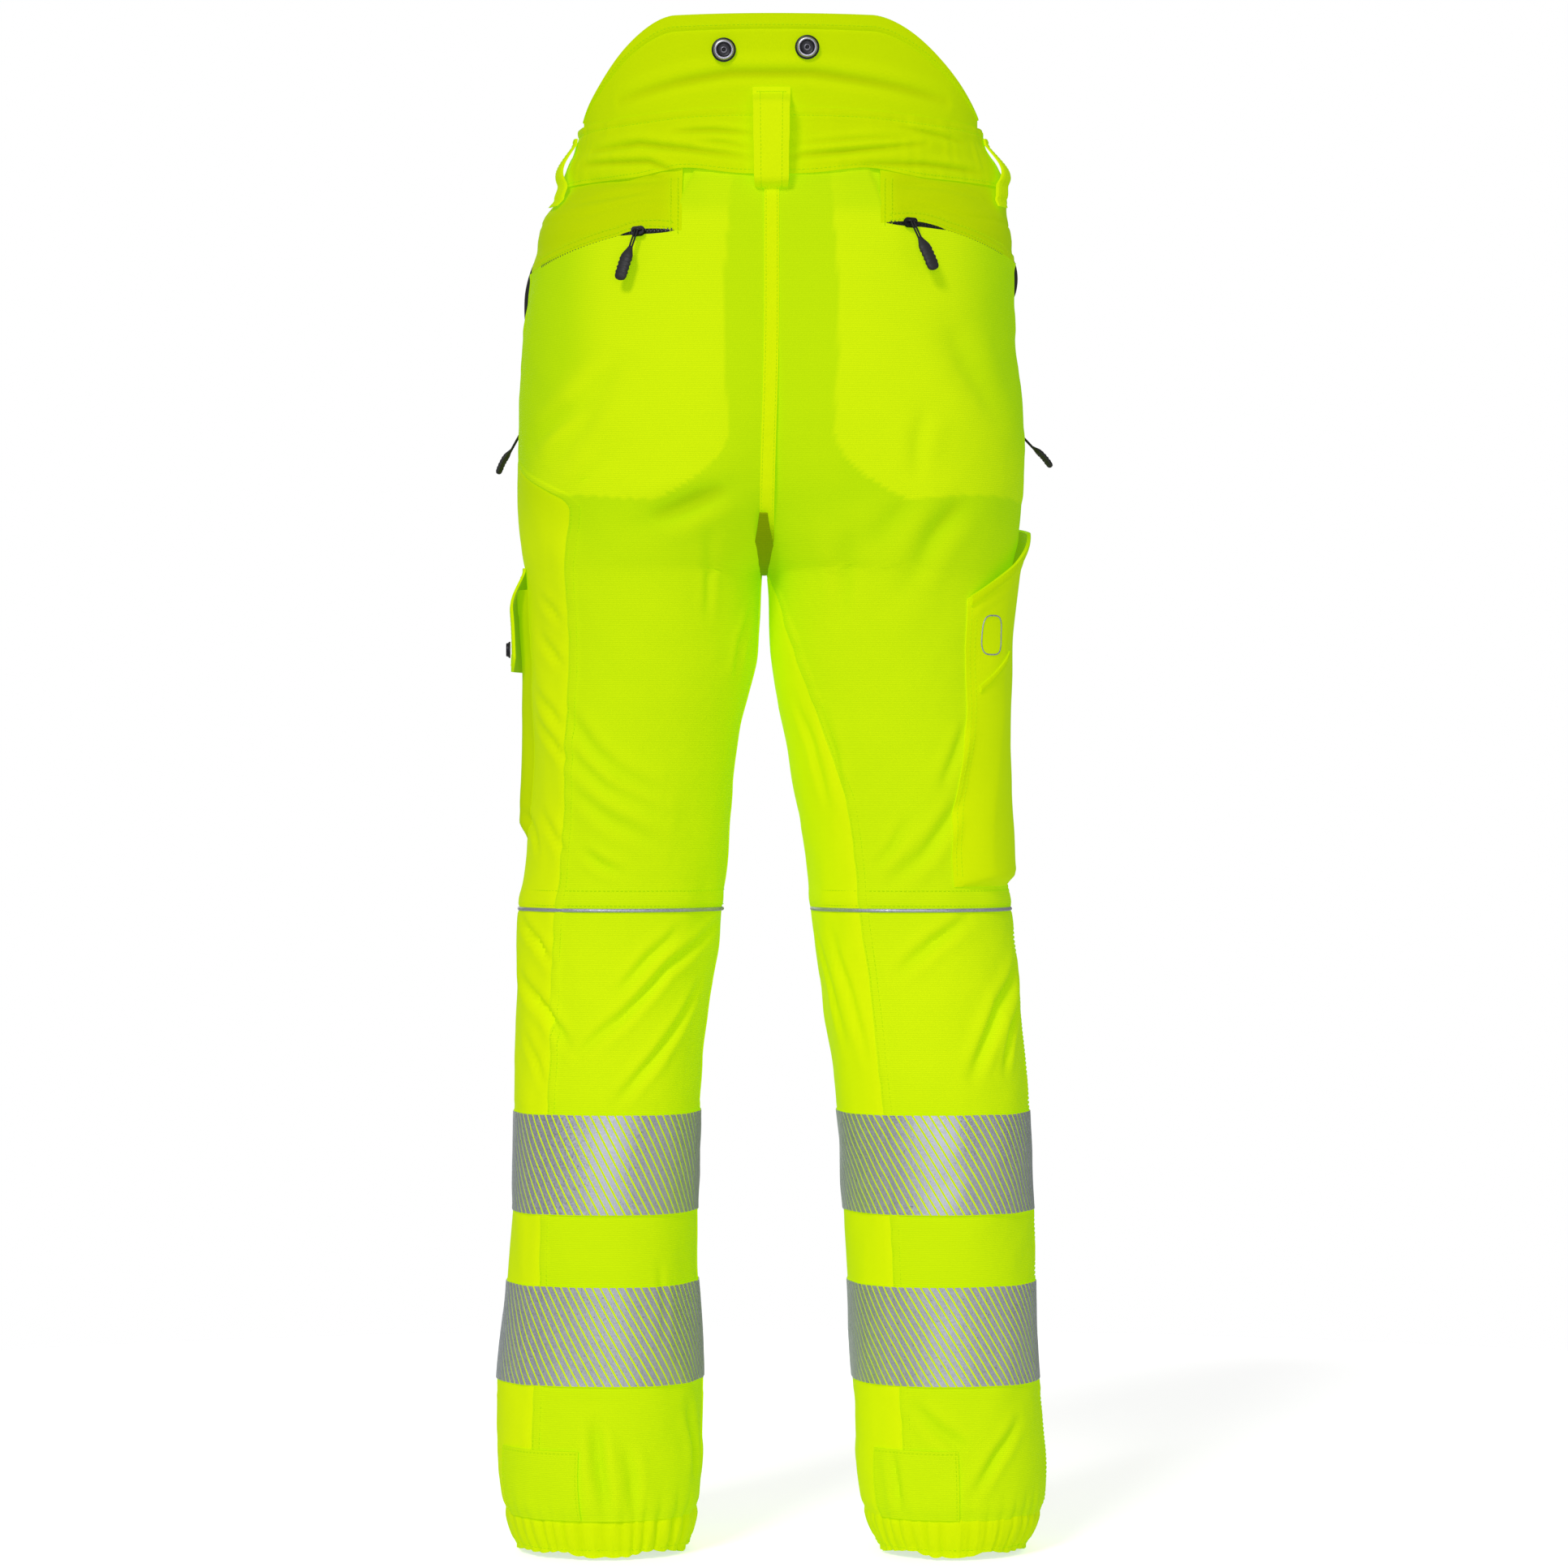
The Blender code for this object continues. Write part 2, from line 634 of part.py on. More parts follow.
class Track:
    """A zip's line: an arc through three points, with the slider's place as its zero."""

    def __init__(self, points, rest):
        self.centre, self.axis = circle_through(*points)
        self.start = self.angle_to(points[0], rest)
        self.end = self.angle_to(points[2], rest)
        self.rest_arm = self.arm(rest)
        self.radius = self.rest_arm.length

    def arm(self, point):
        arm = point - self.centre
        return arm - self.axis * arm.dot(self.axis)

    def angle_to(self, point, rest):
        a, b = self.arm(rest), self.arm(point)
        return math.atan2(a.cross(b).dot(self.axis), a.dot(b))

    def frame(self, angle):
        """Place, outward and along directions at an angle from the slider's rest."""
        turn = Matrix.Rotation(angle, 3, self.axis)
        out = (turn @ self.rest_arm).normalized()
        return self.centre + out * self.radius, out, self.axis.cross(out).normalized()

    def range_degrees(self, end_room):
        room = end_room / self.radius
        return math.degrees(self.start + room), math.degrees(self.end - room)


def build_tape(name, track, count):
    """The zip's tape and teeth as one flat strip along the arc."""
    grids = []
    for radial in (TAPE_THICKNESS / 2, -TAPE_THICKNESS / 2):
        grid = []
        for t in even(count):
            place, out, _ = track.frame(mix(track.start, track.end, t))
            half = track.axis * TAPE_HALF_WIDTH
            grid.append([place + out * radial - half, place + out * radial + half])
        grids.append(grid)
    add_object(name, shell_mesh(name, *grids), "black")


def box_mesh(name, size, bevel):
    bm = bmesh.new()
    bmesh.ops.create_cube(bm, size=1.0)
    bmesh.ops.scale(bm, vec=size, verts=bm.verts)
    bmesh.ops.bevel(bm, geom=bm.edges[:], offset=bevel, segments=1, affect="EDGES")
    mesh = bpy.data.meshes.new(name)
    bm.to_mesh(mesh)
    bm.free()
    return mesh


SLIDER_SIZE = (0.0105, 0.0075, 0.0030)
SLIDER_CLEARANCE = 0.0005
# along a pull from its pivot: distance, half width, half thickness
PULL_PROFILE = (
    (0.0, 0.0011, 0.0010),
    (0.013, 0.0011, 0.0010),
    (0.016, 0.0034, 0.0014),
    (0.037, 0.0042, 0.0016),
    (0.040, 0.003, 0.0012),
)


def placed(made, place, x_axis, z_axis):
    """Turns an object so that its local X and Z lie along the given directions."""
    z_axis = z_axis.normalized()
    y_axis = z_axis.cross(x_axis).normalized()
    x_axis = y_axis.cross(z_axis)
    made.matrix_world = Matrix.Translation(place) @ Matrix((x_axis, y_axis, z_axis)).transposed().to_4x4()
    return made


def pull_mesh(name):
    """A cord that ends in a flat moulded tab, running down local -Z from its pivot."""
    points, faces = [], []
    corners = ((-1, -1), (1, -1), (1, 1), (-1, 1))
    for distance, half_wide, half_thick in PULL_PROFILE:
        points += [Vector((half_wide * sx, half_thick * sy, -distance)) for sx, sy in corners]
    for i in range(len(PULL_PROFILE) - 1):
        a, b = 4 * i, 4 * i + 4
        faces += [(a + k, a + (k + 1) % 4, b + (k + 1) % 4, b + k) for k in range(4)]
    last = len(points) - 4
    faces += [(0, 3, 2, 1), (last, last + 1, last + 2, last + 3)]
    return closed_mesh(name, points, faces)


def build_zip(name, track, hang):
    """Tape, slider and pull of one zip. hang is the direction that the pull lies in at rest."""
    build_tape(name + "_zip_tape", track, 10)
    place, out, along = track.frame(0.0)
    height = TAPE_THICKNESS / 2 + SLIDER_CLEARANCE + SLIDER_SIZE[2] / 2
    pivot = place + out * (height + SLIDER_SIZE[2] / 2 + 0.0016)
    slider = add_object(name + "_slider", box_mesh(name + "_slider", SLIDER_SIZE, 0.0007), "metal")
    placed(slider, place + out * height, along, out)
    pull = add_object(name + "_pull", pull_mesh(name + "_pull"), "black")
    width = hang.cross(out).normalized()
    placed(pull, pivot, width, -hang)
    return pivot, width


def track_on(side, stations, rest):
    """A track through three places (height, angle) on the cloth, with the slider resting at a fourth."""
    start, middle, end = (surface(side, z, angle, ZIP_LIFT) for z, angle in stations)
    out = surface_normal(side, *stations[1])
    chord_middle = (start + end) / 2
    bulge = max(MIN_BULGE, (middle - chord_middle).dot(out))
    if side_pocket(stations):
        middle = chord_middle + out * bulge
    return Track((start, middle, end), surface(side, *rest, ZIP_LIFT))


def side_pocket(stations):
    """A hand pocket's zip runs down the hip; a back pocket's runs round it."""
    return abs(stations[0][0] - stations[-1][0]) > 0.1


def back_zip_track(side):
    spec = BACK_ZIPS[side]
    middle = (spec["inner"] + spec["outer"]) / 2

    def station(x):
        z = zip_height(side, x)
        return z, back_angle(side, z, x)
    return track_on(side, [station(x) for x in (spec["inner"], middle, spec["outer"])], station(spec["slider"]))


MIN_BULGE = 0.002
HAND_ZIP = ((-0.057, math.radians(176)), (-0.122, math.radians(168)), (-0.190, math.radians(160)))
HAND_REST = (-0.183, math.radians(160.8))
FLY_ZIP_Z = (-0.010, -0.085, -0.165)
FLY_LIFT = 0.0024
FLY_PLACKET_END_Z = -0.20
PULL_REACH = 0.045
BACK_PULL_LIFT = 0.0078
BACK_PULL_LEAN = {LEFT: 0.30, RIGHT: 0.42}
HAND_PULL_OUT = {LEFT: 0.55, RIGHT: 0.95}


def fly_track():
    """The fly's arc, which lies in the plane x = 0."""
    points = [Vector((0.0, centre_surface_y(z, -1) - FLY_LIFT, z)) for z in FLY_ZIP_Z]
    z = FLY_ZIP_Z[0] - 0.009
    rest = Vector((0.0, centre_surface_y(z, -1) - FLY_LIFT, z))
    return Track(points, rest)


def back_pull_hang(side, track):
    """A back pocket's pull leans outwards and rests on the cloth below its slider."""
    place, _, _ = track.frame(0.0)
    z = place.z - PULL_REACH
    below = surface(side, z, back_angle(side, z, abs(place.x) + 0.012), BACK_PULL_LIFT)
    return Vector((side * BACK_PULL_LEAN[side] * PULL_REACH, below.y - place.y, -PULL_REACH)).normalized()


def zips():
    """Every zip: name, track and the direction in which its pull hangs."""
    found = []
    for side, label in SIDE_NAMES.items():
        track = back_zip_track(side)
        found.append(("back_pocket_" + label, track, back_pull_hang(side, track)))
    for side, label in SIDE_NAMES.items():
        track = track_on(side, HAND_ZIP, HAND_REST)
        _, out, _ = track.frame(0.0)
        hang = (out * HAND_PULL_OUT[side] + Vector((0, 0, -1))).normalized()
        found.append(("hand_pocket_" + label, track, hang))
    found.append(("fly", fly_track(), Vector((0, -0.10, -1)).normalized()))
    return found


# ---------------------------------------------------------------- thigh pockets
def pocket_solid(name, side, span_degrees, top, bottom, depth, wall):
    """A pouch with its own front, sides and floor, open at the top; the thigh closes its back."""
    low, high = (math.radians(v) for v in span_degrees)
    rows = 6
    body = patch(
        name, side, lambda z: (low, high), lambda f: [mix(top(f), bottom(f), t) for t in even(rows)],
        even(10), "smooth", depth, depth - 0.001,
    )
    edge = wall / 0.09
    cutter = patch(
        name + "_hollow", side, lambda z: (low + edge, high - edge),
        lambda f: [mix(top(f) + 0.012, bottom(f) + wall, t) for t in even(rows)],
        even(10), "smooth", depth - wall, depth - wall + 0.0008,
    )
    cutter.hide_render = True
    cutter.display_type = "WIRE"
    cut = body.modifiers.new("Hollow", "BOOLEAN")
    cut.operation = "DIFFERENCE"
    cut.solver = "EXACT"
    cut.object = cutter
    return body


CARGO_SPAN = (112, 190)
CARGO_TOP_Z = -0.303
CARGO_BOTTOM_Z = -0.492
CARGO_DEPTH = 0.0115
CARGO_WALL = 0.0018
FLAP_SPAN = (110, 193)
FLAP_TOP_Z = -0.289
FLAP_BOTTOM_Z = -0.3665
FLAP_HINGE_ANGLE = math.radians(152)
FLAP_LIFT = CARGO_DEPTH + 0.0038
FLAP_STUD_Z = -0.350
FLAP_STUD_ANGLE = math.radians(184)
TOOL_SPAN = (152, 234)
TOOL_DEPTH = 0.0095


def build_cargo_pocket():
    def top(f):
        return CARGO_TOP_Z

    def bottom(f):
        return CARGO_BOTTOM_Z
    pocket_solid("cargo_pocket", LEFT, CARGO_SPAN, top, bottom, CARGO_DEPTH, CARGO_WALL)
    low, high = (math.radians(v) for v in FLAP_SPAN)
    hinge = add_empty("cargo_flap_hinge", flap_hinge())
    heights = [mix(FLAP_TOP_Z, FLAP_BOTTOM_Z, t) for t in even(3)]
    patch(
        "cargo_flap", LEFT, lambda z: (low, high), lambda f: heights,
        even(10), "smooth", FLAP_LIFT, FABRIC + 0.0006, hinge,
    )
    out = surface_normal(LEFT, FLAP_STUD_Z, FLAP_STUD_ANGLE)
    place = surface(LEFT, FLAP_STUD_Z, FLAP_STUD_ANGLE, FLAP_LIFT + 0.0011)
    stud("cargo_flap_stud", place, out, 0.0062, "black", hinge)


def flap_hinge():
    """A point on the flap's top edge, at the middle of its arc."""
    return surface(LEFT, FLAP_TOP_Z, FLAP_HINGE_ANGLE, CARGO_DEPTH + 0.0026)


def build_tool_pocket():
    def top(f):
        return mix(-0.268, -0.309, ease((f - 0.30) / 0.70))

    def bottom(f):
        return mix(-0.512, -0.528, ease(f / 0.5))
    pocket_solid("tool_pocket", RIGHT, TOOL_SPAN, top, bottom, TOOL_DEPTH, 0.0016)


# ---------------------------------------------------------------- knees and lower legs
def build_knee(side, label):
    top, bottom = KNEE_Z + KNEE_REACH - GAP, KNEE_Z - KNEE_REACH + GAP
    ring_patch("knee_panel_" + label, side, [mix(top, bottom, t) for t in even(4)], 20, "ripstop")
    heights = (KNEE_Z + 0.0018, KNEE_Z - 0.0018)
    patch(
        "knee_piping_" + label, side, lambda z: (math.radians(183), math.radians(357)), lambda f: heights,
        even(14), "reflective", 0.0022, 0.0014,
    )


def build_lower_leg(side, label):
    knee = add_empty("knee_axis_" + label, Vector((side * section(side, KNEE_Z)[0], 0.0, KNEE_Z)))
    top = KNEE_Z - KNEE_REACH - GAP
    bottom = CUFF_SEAM_Z + GAP
    heights = [mix(top, bottom, t) for t in even(5)]
    patch("shin_front_" + label, side, front_span(side), lambda f: heights, even(12), "smooth", parent=knee)
    patch("shin_back_" + label, side, seat_span(side), lambda f: heights, even(8), "ripstop", parent=knee)
    build_insert("cut_insert_shin_" + label, side, [mix(top, bottom + 0.012, t) for t in even(4)], knee)
    for place, band_top in BAND_TOPS.items():
        rows = (band_top, band_top - BAND_HEIGHT)
        ring_patch(f"reflective_band_{place}_{label}", side, rows, 24, "reflective", 0.0026, 0.0010, knee)
    hem = (CUFF_SEAM_Z - GAP, (CUFF_SEAM_Z + HEM_Z) / 2, HEM_Z)
    ring_patch("cuff_" + label, side, hem, 36, "smooth", -0.0006, 0.0026, knee, 0.0008)


def clear_scene():
    for old in list(bpy.data.objects):
        bpy.data.objects.remove(old, do_unlink=True)


def main():
    clear_scene()
    build_body_panels()
    build_centre_back_seam()
    build_fly_placket()
    build_crotch_gusset()
    build_waist()
    build_belt_loops()
    build_fasteners()
    for name, track, hang in zips():
        build_zip(name, track, hang)
    build_cargo_pocket()
    build_tool_pocket()
    for side, label in SIDE_NAMES.items():
        build_knee(side, label)
        build_lower_leg(side, label)


main()
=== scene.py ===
"""Saw-protection trousers in fluorescent yellow, seen from behind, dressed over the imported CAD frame.

Metres, +Z up. The wearer faces -Y and the wearer's left is +X.
A place on a trouser half is (side, z, angle). The angle runs 0 inner leg, 90 front, 180 outer leg,
270 back and 360 inner leg, as in the part's own sections.
"""

import json
import math

import bmesh
import bpy
import numpy as np
from mathutils import Matrix, Vector


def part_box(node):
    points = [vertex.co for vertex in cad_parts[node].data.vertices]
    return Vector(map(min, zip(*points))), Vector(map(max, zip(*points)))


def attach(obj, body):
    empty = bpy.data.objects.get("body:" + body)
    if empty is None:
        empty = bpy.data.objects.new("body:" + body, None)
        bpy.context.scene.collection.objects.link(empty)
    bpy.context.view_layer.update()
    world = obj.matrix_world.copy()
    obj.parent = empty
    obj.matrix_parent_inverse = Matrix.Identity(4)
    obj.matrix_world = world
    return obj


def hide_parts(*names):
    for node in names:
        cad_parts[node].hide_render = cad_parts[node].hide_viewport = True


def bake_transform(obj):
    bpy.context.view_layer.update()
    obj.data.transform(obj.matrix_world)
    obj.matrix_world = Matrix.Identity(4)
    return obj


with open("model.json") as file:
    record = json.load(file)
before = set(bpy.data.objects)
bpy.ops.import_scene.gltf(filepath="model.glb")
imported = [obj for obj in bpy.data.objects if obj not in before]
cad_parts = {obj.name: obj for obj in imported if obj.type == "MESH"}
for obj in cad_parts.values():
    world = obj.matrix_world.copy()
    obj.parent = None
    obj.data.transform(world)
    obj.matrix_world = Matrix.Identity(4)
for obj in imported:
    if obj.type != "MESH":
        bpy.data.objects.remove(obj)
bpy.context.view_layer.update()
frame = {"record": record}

LEFT, RIGHT = 1, -1
NAMES = {LEFT: "left", RIGHT: "right"}
FINE = 1.0

# ---------------------------------------------------------------- sizes
CROTCH_Z = -0.288
KNEE_Z = -0.5455
CUFF_SEAM_Z = -1.001
HEM_Z = -1.026
ROUNDNESS = 2.2
LEG_RADIUS = 0.085
THIGH_RADIUS = 0.092
WAIST_RADIUS = 0.15
FOLD_SCALE = 1.35
CLOTH = 0.0011
BAND_TOPS = {"upper": -0.697, "lower": -0.825}
BAND_HEIGHT = 0.075
WRAP_LEFT = math.radians(53)
WRAP_RIGHT = math.radians(60)
YOKE_INNER = {LEFT: 0.068, RIGHT: 0.081}
# back pocket slits: inner end, slider, where the black opening ends, height at the inner end, drop
SLITS = {
    LEFT: {"inner": 0.073, "slider": 0.097, "open_to": 0.113, "z": -0.0445, "drop": 0.0225},
    RIGHT: {"inner": 0.085, "slider": 0.100, "open_to": 0.128, "z": -0.0386, "drop": 0.0194},
}

# height, then left inner and outer, right inner and outer, front, back
OUTLINE = (
    (0.120, -0.146, 0.146, -0.158, 0.158, -0.112, 0.112),
    (0.042, -0.146, 0.146, -0.158, 0.158, -0.112, 0.106),
    (0.000, -0.146, 0.146, -0.158, 0.158, -0.116, 0.112),
    (-0.012, -0.138, 0.157, -0.146, 0.167, -0.118, 0.116),
    (-0.025, -0.128, 0.172, -0.132, 0.177, -0.120, 0.120),
    (-0.055, -0.112, 0.179, -0.112, 0.181, -0.124, 0.127),
    (-0.115, -0.098, 0.188, -0.098, 0.184, -0.128, 0.136),
    (-0.177, -0.078, 0.192, -0.080, 0.188, -0.128, 0.139),
    (-0.226, -0.052, 0.193, -0.058, 0.187, -0.124, 0.134),
    (-0.262, -0.024, 0.191, -0.034, 0.184, -0.118, 0.125),
    (-0.284, 0.000, 0.188, -0.012, 0.180, -0.112, 0.118),
    (-0.294, 0.0095, 0.186, -0.003, 0.178, -0.110, 0.114),
    (-0.350, 0.0125, 0.183, 0.000, 0.173, -0.104, 0.103),
    (-0.430, 0.030, 0.182, 0.012, 0.172, -0.098, 0.092),
    (-0.521, 0.0375, 0.186, 0.029, 0.175, -0.090, 0.080),
    (-0.558, 0.042, 0.190, 0.0325, 0.180, -0.087, 0.078),
    (-0.650, 0.0525, 0.191, 0.0445, 0.190, -0.078, 0.082),
    (-0.720, 0.056, 0.194, 0.0515, 0.194, -0.073, 0.084),
    (-0.826, 0.0585, 0.1995, 0.0575, 0.1975, -0.071, 0.080),
    (-0.900, 0.055, 0.205, 0.0615, 0.202, -0.072, 0.077),
    (-0.965, 0.056, 0.207, 0.0655, 0.205, -0.074, 0.076),
    (-1.001, 0.057, 0.203, 0.0685, 0.203, -0.073, 0.075),
    (-1.026, 0.063, 0.194, 0.079, 0.192, -0.066, 0.068),
)

# folds on the back of the legs, in mm: half width, depth, then points as (distance from the centre, height)
FOLDS = {
    LEFT: (
        (8, 2.2, ((177, -197), (144, -174), (112, -144))),
        (8, 1.8, ((167, -218), (138, -186), (116, -161))),
        (5, 1.2, ((157, -241), (139, -227), (123, -213))),
        (10, 3.0, ((91, -259), (61, -246), (33, -233))),
        (6, 1.7, ((152, -398), (131, -428), (108, -447), (80, -460))),
        (6, 1.4, ((150, -428), (122, -455), (80, -476))),
        (6, 1.3, ((148, -456), (116, -480), (84, -497))),
        (4, 1.6, ((141, -502), (127, -511), (111, -518))),
        (4, 1.2, ((174, -312), (166, -321), (157, -332))),
        (4, 1.3, ((175, -340), (166, -352), (156, -365))),
        (4, 1.4, ((177, -382), (165, -397), (155, -410))),
        (4, 1.4, ((177, -403), (164, -419), (152, -435))),
        (4, 1.2, ((174, -472), (163, -490), (153, -503))),
        (4, 1.3, ((185, -472), (179, -487), (175, -502))),
        (4, 1.0, ((50, -262), (47, -292), (48, -328))),
        (5, 1.4, ((16, -319), (24, -346), (29, -373))),
        (5, 1.7, ((116, -608), (92, -581), (69, -560))),
        (5, 2.2, ((145, -653), (113, -626), (77, -587), (42, -552))),
        (5, 2.0, ((117, -689), (83, -647), (54, -602))),
        (4, 1.8, ((187, -550), (175, -569), (163, -586))),
        (5, 2.4, ((187, -595), (169, -620), (152, -645))),
        (4, 1.2, ((184, -638), (175, -659), (169, -677))),
        (5, 2.6, ((132, -927), (129, -956), (123, -994))),
        (6, 1.6, ((110, -944), (105, -968), (104, -996))),
        (7, 1.8, ((65, -916), (60, -944), (62, -974))),
        (5, 1.0, ((85, -810), (82, -840), (85, -883))),
    ),
    RIGHT: (
        (8, 2.0, ((139, -243), (121, -265), (98, -305))),
        (7, 1.2, ((99, -243), (87, -259), (74, -278))),
        (7, 1.4, ((61, -265), (53, -292), (50, -328))),
        (11, 1.5, ((131, -111), (145, -144), (164, -180))),
        (5, 1.0, ((112, -177), (107, -200), (106, -227))),
        (6, 1.8, ((140, -463), (130, -479), (113, -503), (86, -527))),
        (4, 1.2, ((101, -478), (89, -499), (76, -513))),
        (5, 1.3, ((143, -406), (135, -430), (125, -453))),
        (5, 2.0, ((145, -552), (120, -569), (92, -594))),
        (6, 3.0, ((181, -584), (167, -617), (148, -668))),
        (5, 2.0, ((185, -605), (177, -635), (173, -664))),
        (5, 1.2, ((44, -560), (58, -605), (72, -659))),
        (5, 1.2, ((34, -560), (46, -605), (56, -647))),
        (5, 1.0, ((16, -388), (29, -424), (42, -472))),
        (5, 1.0, ((35, -394), (46, -430), (53, -463))),
        (6, 1.8, ((106, -915), (125, -933), (147, -948))),
        (5, 1.8, ((184, -927), (168, -950), (149, -979))),
        (5, 1.6, ((90, -950), (94, -974), (97, -996))),
    ),
}

# folds on the front of either leg, in the same form: drag lines at the hip, knee and ankle
FRONT_FOLDS = (
    (9, 1.8, ((22, -262), (62, -236), (118, -214))),
    (8, 1.5, ((26, -286), (70, -276), (128, -268))),
    (9, 1.4, ((30, -206), (70, -178), (120, -162))),
    (8, 1.2, ((60, -330), (94, -352), (132, -372))),
    (8, 1.3, ((150, -430), (124, -470), (92, -492))),
    (7, 1.6, ((60, -560), (98, -584), (150, -588))),
    (7, 1.3, ((166, -612), (130, -632), (90, -636))),
    (8, 1.2, ((78, -664), (112, -676), (150, -672))),
    (8, 1.6, ((84, -914), (88, -946), (84, -984))),
    (8, 1.8, ((136, -918), (144, -950), (142, -990))),
    (7, 1.3, ((176, -908), (172, -944), (176, -984))),
)

# wrinkles round the small of the back, in the same form, with the wearer's right side at negative x
WAIST_FOLDS = (
    (2.6, 1.7, ((132, 21), (98, 23), (61, 17), (16, 10))),
    (2.2, 1.3, ((73, 31), (43, 31), (16, 28))),
    (2.4, 1.6, ((138, 12), (91, 9), (70, 0))),
    (2.2, 1.2, ((135, -1.5), (104, -5), (73, -4.5))),
    (2.0, 1.0, ((55, 22), (36, 21), (16, 17))),
    (2.2, 1.0, ((150, -19), (122, -17), (92, -14))),
    (2.6, 1.7, ((-14, 11), (-53, 15), (-113, 23.5))),
    (2.4, 1.4, ((-53, 5), (-113, 8), (-148, 5.5))),
    (2.2, 1.0, ((-17, 20), (-65, 25), (-107, 28))),
    (2.2, 1.0, ((-84, -8), (-118, -9), (-150, -12))),
    (2.0, 0.8, ((-92, 35), (-120, 31), (-142, 27))),
    (4.0, 1.9, ((113, 56.5), (73, 66.6), (31, 73), (-29, 73), (-89, 65), (-129, 57))),
)


# ---------------------------------------------------------------- curves and sections
def mix(a, b, t):
    return a + (b - a) * t


def ease(t):
    t = np.clip(t, 0.0, 1.0)
    return t * t * (3 - 2 * t)


def signed_power(value, power):
    return np.sign(value) * np.abs(value) ** power


def end_slope(near, far, near_step, far_step):
    slope = ((2 * near_step + far_step) * near - near_step * far) / (near_step + far_step)
    return slope if slope * near > 0 else 0.0


def monotone_slopes(xs, ys):
    steps = np.diff(xs)
    rises = np.diff(ys) / steps
    slopes = [end_slope(rises[0], rises[1], steps[0], steps[1])]
    for before, after in zip(rises[:-1], rises[1:]):
        slopes.append(0.0 if before * after <= 0 else 2 / (1 / before + 1 / after))
    slopes.append(end_slope(rises[-1], rises[-2], steps[-1], steps[-2]))
    return np.array(slopes)


def smooth_column(xs, ys, at):
    """A smooth curve through (xs, ys) that doesn't overshoot, read at many places."""
    slopes = monotone_slopes(xs, ys)
    i = np.clip(np.searchsorted(xs, at) - 1, 0, len(xs) - 2)
    h = xs[i + 1] - xs[i]
    t = (at - xs[i]) / h
    rest = (2 * t**3 - 3 * t**2 + 1) * ys[i] + (3 * t**2 - 2 * t**3) * ys[i + 1]
    return rest + (t**3 - 2 * t**2 + t) * h * slopes[i] + (t**3 - t**2) * h * slopes[i + 1]


ROWS = np.array(OUTLINE)[::-1]
FINE_Z = np.linspace(ROWS[0, 0], ROWS[-1, 0], 4001)
FINE_COLUMNS = [smooth_column(ROWS[:, 0], ROWS[:, k], FINE_Z) for k in range(7)]


def outline(z, k):
    return np.interp(z, FINE_Z, FINE_COLUMNS[k])


def section(side, z):
    """Centre x, half width, centre y, half depth of one half's section."""
    inner, outer = (1, 2) if side == LEFT else (3, 4)
    low, high = outline(z, inner), outline(z, outer)
    front, back = outline(z, 5), outline(z, 6)
    return (low + high) / 2, (high - low) / 2, (front + back) / 2, (back - front) / 2


def parting(side, z):
    """How far from x = 0, on its own side, a half stops at the centre seam."""
    shift = 0.0065 * ease((-0.10 - z) / 0.18)
    return side * shift + mix(0.0003, 0.0030, ease((-0.19 - z) / 0.055))


def start_angle(side, z):
    cx, a, _, _ = section(side, z)
    u = (cx - parting(side, z)) / a
    return np.where(u >= 1, 0.0, np.arccos(signed_power(np.minimum(u, 1.0), ROUNDNESS / 2)))


def back_angle(side, z, x):
    """Angle of the back surface's point at distance x from the centre plane."""
    cx, a, _, _ = section(side, z)
    u = np.clip((x - cx) / a, -1, 1)
    return 2 * math.pi - np.arccos(signed_power(-u, ROUNDNESS / 2))


def front_angle(side, z, x):
    """Angle of the front surface's point at distance x from the centre plane."""
    return 2 * math.pi - back_angle(side, z, x)


def wrap_left(z):
    return WRAP_LEFT * ease((-0.20 - z) / 0.05)


def wrap_right(z):
    return WRAP_RIGHT * np.clip((CROTCH_Z - 0.006 - z) / 0.17, 0, 1) ** 0.45


def front_start(side, z):
    start = start_angle(side, z)
    if side == RIGHT:
        start = np.where(start == 0.0, -wrap_right(z), start)
    return start


def front_end(side, z):
    return math.pi + (wrap_left(z) if side == LEFT else 0.0 * z)


def back_end(side, z):
    """Where the back panel meets the inner seam, the centre seam or the right leg's wrap."""
    start = start_angle(side, z)
    wrap = wrap_right(z) if side == RIGHT else 0.0
    return 2 * math.pi - start - np.where(start == 0.0, wrap, 0.0)


def skin(side, z, angle, lift=0.0):
    """Points on a half's plain section, moved out by lift."""
    z, angle, lift = np.broadcast_arrays(np.asarray(z, float), angle, lift)
    cx, a, cy, b = section(side, z)
    rx = signed_power(-np.cos(angle), 2 / ROUNDNESS)
    ry = signed_power(-np.sin(angle), 2 / ROUNDNESS)
    nx = signed_power(rx, ROUNDNESS - 1) / a
    ny = signed_power(ry, ROUNDNESS - 1) / b
    size = np.hypot(nx, ny)
    x = side * (cx + a * rx + nx / size * lift)
    y = cy + b * ry + ny / size * lift
    return np.stack((x, y, z), axis=-1)


# ---------------------------------------------------------------- cloth relief
def lattice(seed):
    return np.random.RandomState(seed).uniform(-1, 1, (64, 64))


def noise(u, v, seed):
    """Smooth value noise from about -1 to 1, one cell per unit."""
    values = lattice(seed)
    iu, iv = np.floor(u).astype(int), np.floor(v).astype(int)
    fu, fv = ease(u - iu), ease(v - iv)
    a, b = values[iu % 64, iv % 64], values[(iu + 1) % 64, iv % 64]
    c, d = values[iu % 64, (iv + 1) % 64], values[(iu + 1) % 64, (iv + 1) % 64]
    return mix(mix(a, b, fu), mix(c, d, fu), fv)


def girth(angle):
    """Rough distance round a leg, in metres."""
    return LEG_RADIUS * angle


